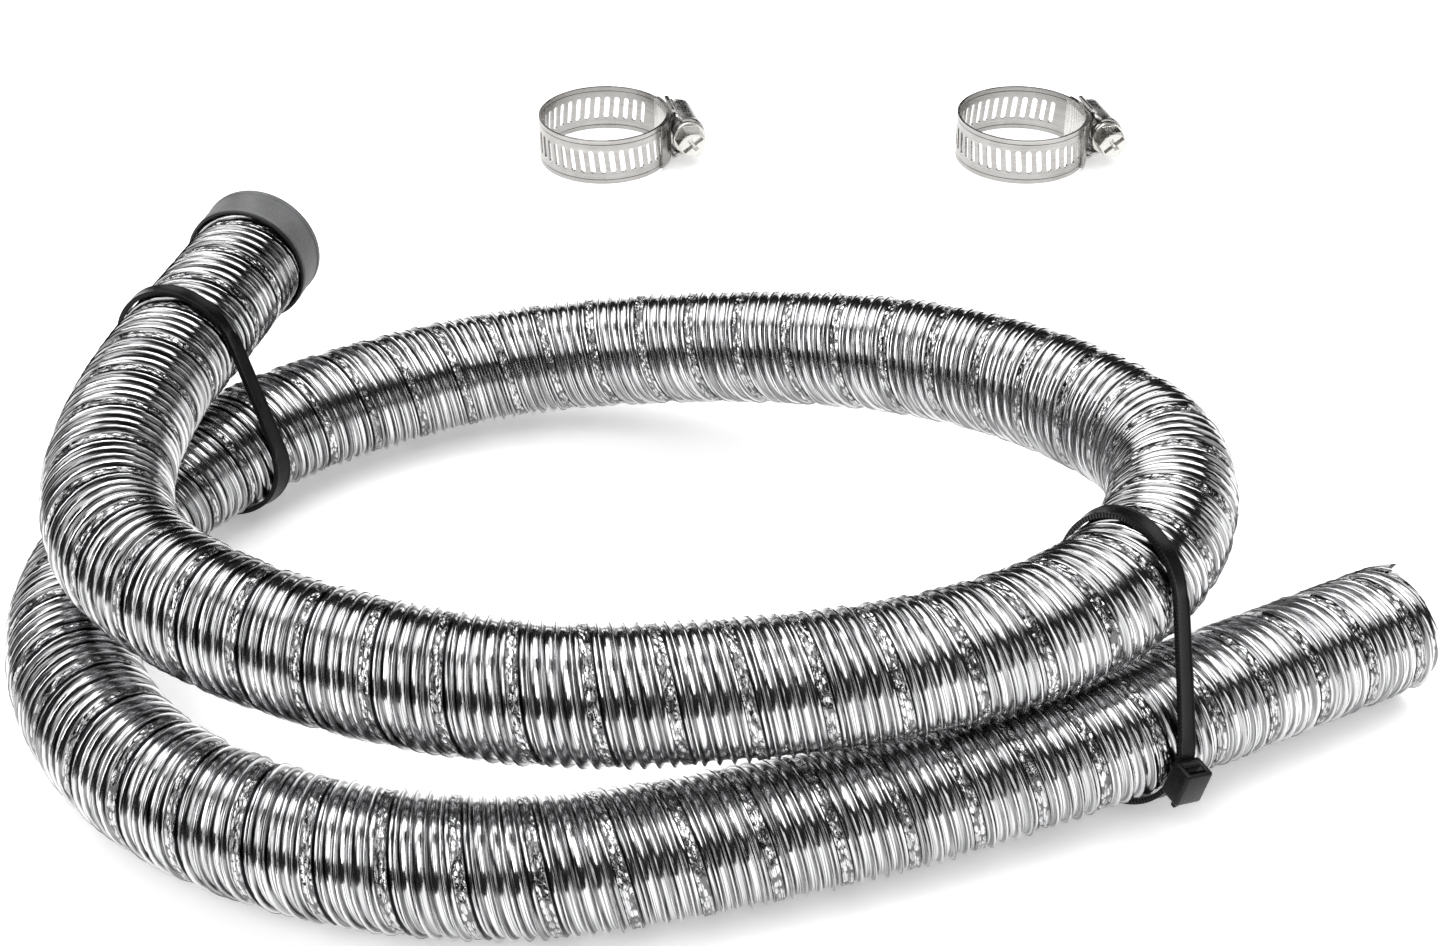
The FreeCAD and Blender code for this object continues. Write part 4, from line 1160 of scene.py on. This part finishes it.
# ------------------------------------------------------------------ floor, light and camera
CAMERA_PLACE = (0.00142, -0.47593, 0.312)
CAMERA_DROP = 34.04                            # degrees below level
CAMERA_LENS = 56.055363
FLOOR_HALF = 12.0
FLOOR_GLOW = 0.35
WORLD_STRENGTH = 0.015
SOFTBOX_SIZE = (0.62, 0.46)                    # the two at the sides
SOFTBOX_AIM = (0, -0.05, 0.02)
# Suns: heading and height above level in degrees, and strength. Each is a wide soft disc.
SUNS = {"key": (-125, 52, 1.5), "fill": (40, 60, 1.4), "rim": (125, 48, 1.2)}
SUN_WIDTH = 48                                 # of the disc, in degrees


def area_light(name, place, aim, size, power):
    data = bpy.data.lights.new(name, "AREA")
    data.shape = "RECTANGLE"
    data.size = size[0]
    data.size_y = size[1]
    data.energy = power
    obj = link(bpy.data.objects.new(name, data))
    obj.location = place
    direction = mathutils.Vector(aim) - mathutils.Vector(place)
    obj.rotation_euler = direction.to_track_quat("-Z", "Y").to_euler()


def sun_light(name, heading, height, energy):
    sun = bpy.data.lights.new(name, "SUN")
    sun.energy = energy
    sun.angle = math.radians(SUN_WIDTH)
    lamp = link(bpy.data.objects.new(name, sun))
    heading, height = math.radians(heading), math.radians(height)
    toward_sun = mathutils.Vector((math.cos(heading) * math.cos(height), math.sin(heading) * math.cos(height),
                                   math.sin(height)))
    lamp.rotation_euler = (-toward_sun).to_track_quat("-Z", "Y").to_euler()


def build_studio():
    ground = np.array([[-1, -1, 0], [1, -1, 0], [1, 1, 0], [-1, 1, 0]]) * FLOOR_HALF
    floor_material, _, shader = new_material("pale_floor", 0.0, roughness=0.9)
    shader.inputs["Base Color"].default_value = (0.95, 0.95, 0.95, 1)
    shader.inputs["Emission Color"].default_value = (1.0, 1.0, 1.0, 1)
    shader.inputs["Emission Strength"].default_value = FLOOR_GLOW
    piece("floor", ground, [[0, 1, 2, 3]], floor_material)
    world = bpy.data.worlds.new("studio")
    world.use_nodes = True
    background = world.node_tree.nodes["Background"]
    background.inputs["Color"].default_value = (1.0, 1.0, 1.0, 1)
    background.inputs["Strength"].default_value = WORLD_STRENGTH
    SCENE.world = world
    area_light("softbox_top", (0.0, -0.10, 0.9), (0, -0.10, 0), (1.2, 1.08), 3.6)
    area_light("softbox_left", (-0.85, -0.42, 0.30), SOFTBOX_AIM, SOFTBOX_SIZE, 1.0)
    area_light("softbox_right", (0.85, -0.42, 0.30), SOFTBOX_AIM, SOFTBOX_SIZE, 1.0)
    for name, sun in SUNS.items():
        sun_light(name, *sun)
    camera_data = bpy.data.cameras.new("camera")
    camera_data.sensor_width = 36.0
    camera_data.lens = CAMERA_LENS
    camera = link(bpy.data.objects.new("camera", camera_data))
    camera.location = CAMERA_PLACE
    camera.rotation_euler = (math.radians(90 - CAMERA_DROP), 0, 0)
    SCENE.camera = camera
    SCENE.view_settings.view_transform = "Standard"


build_studio()
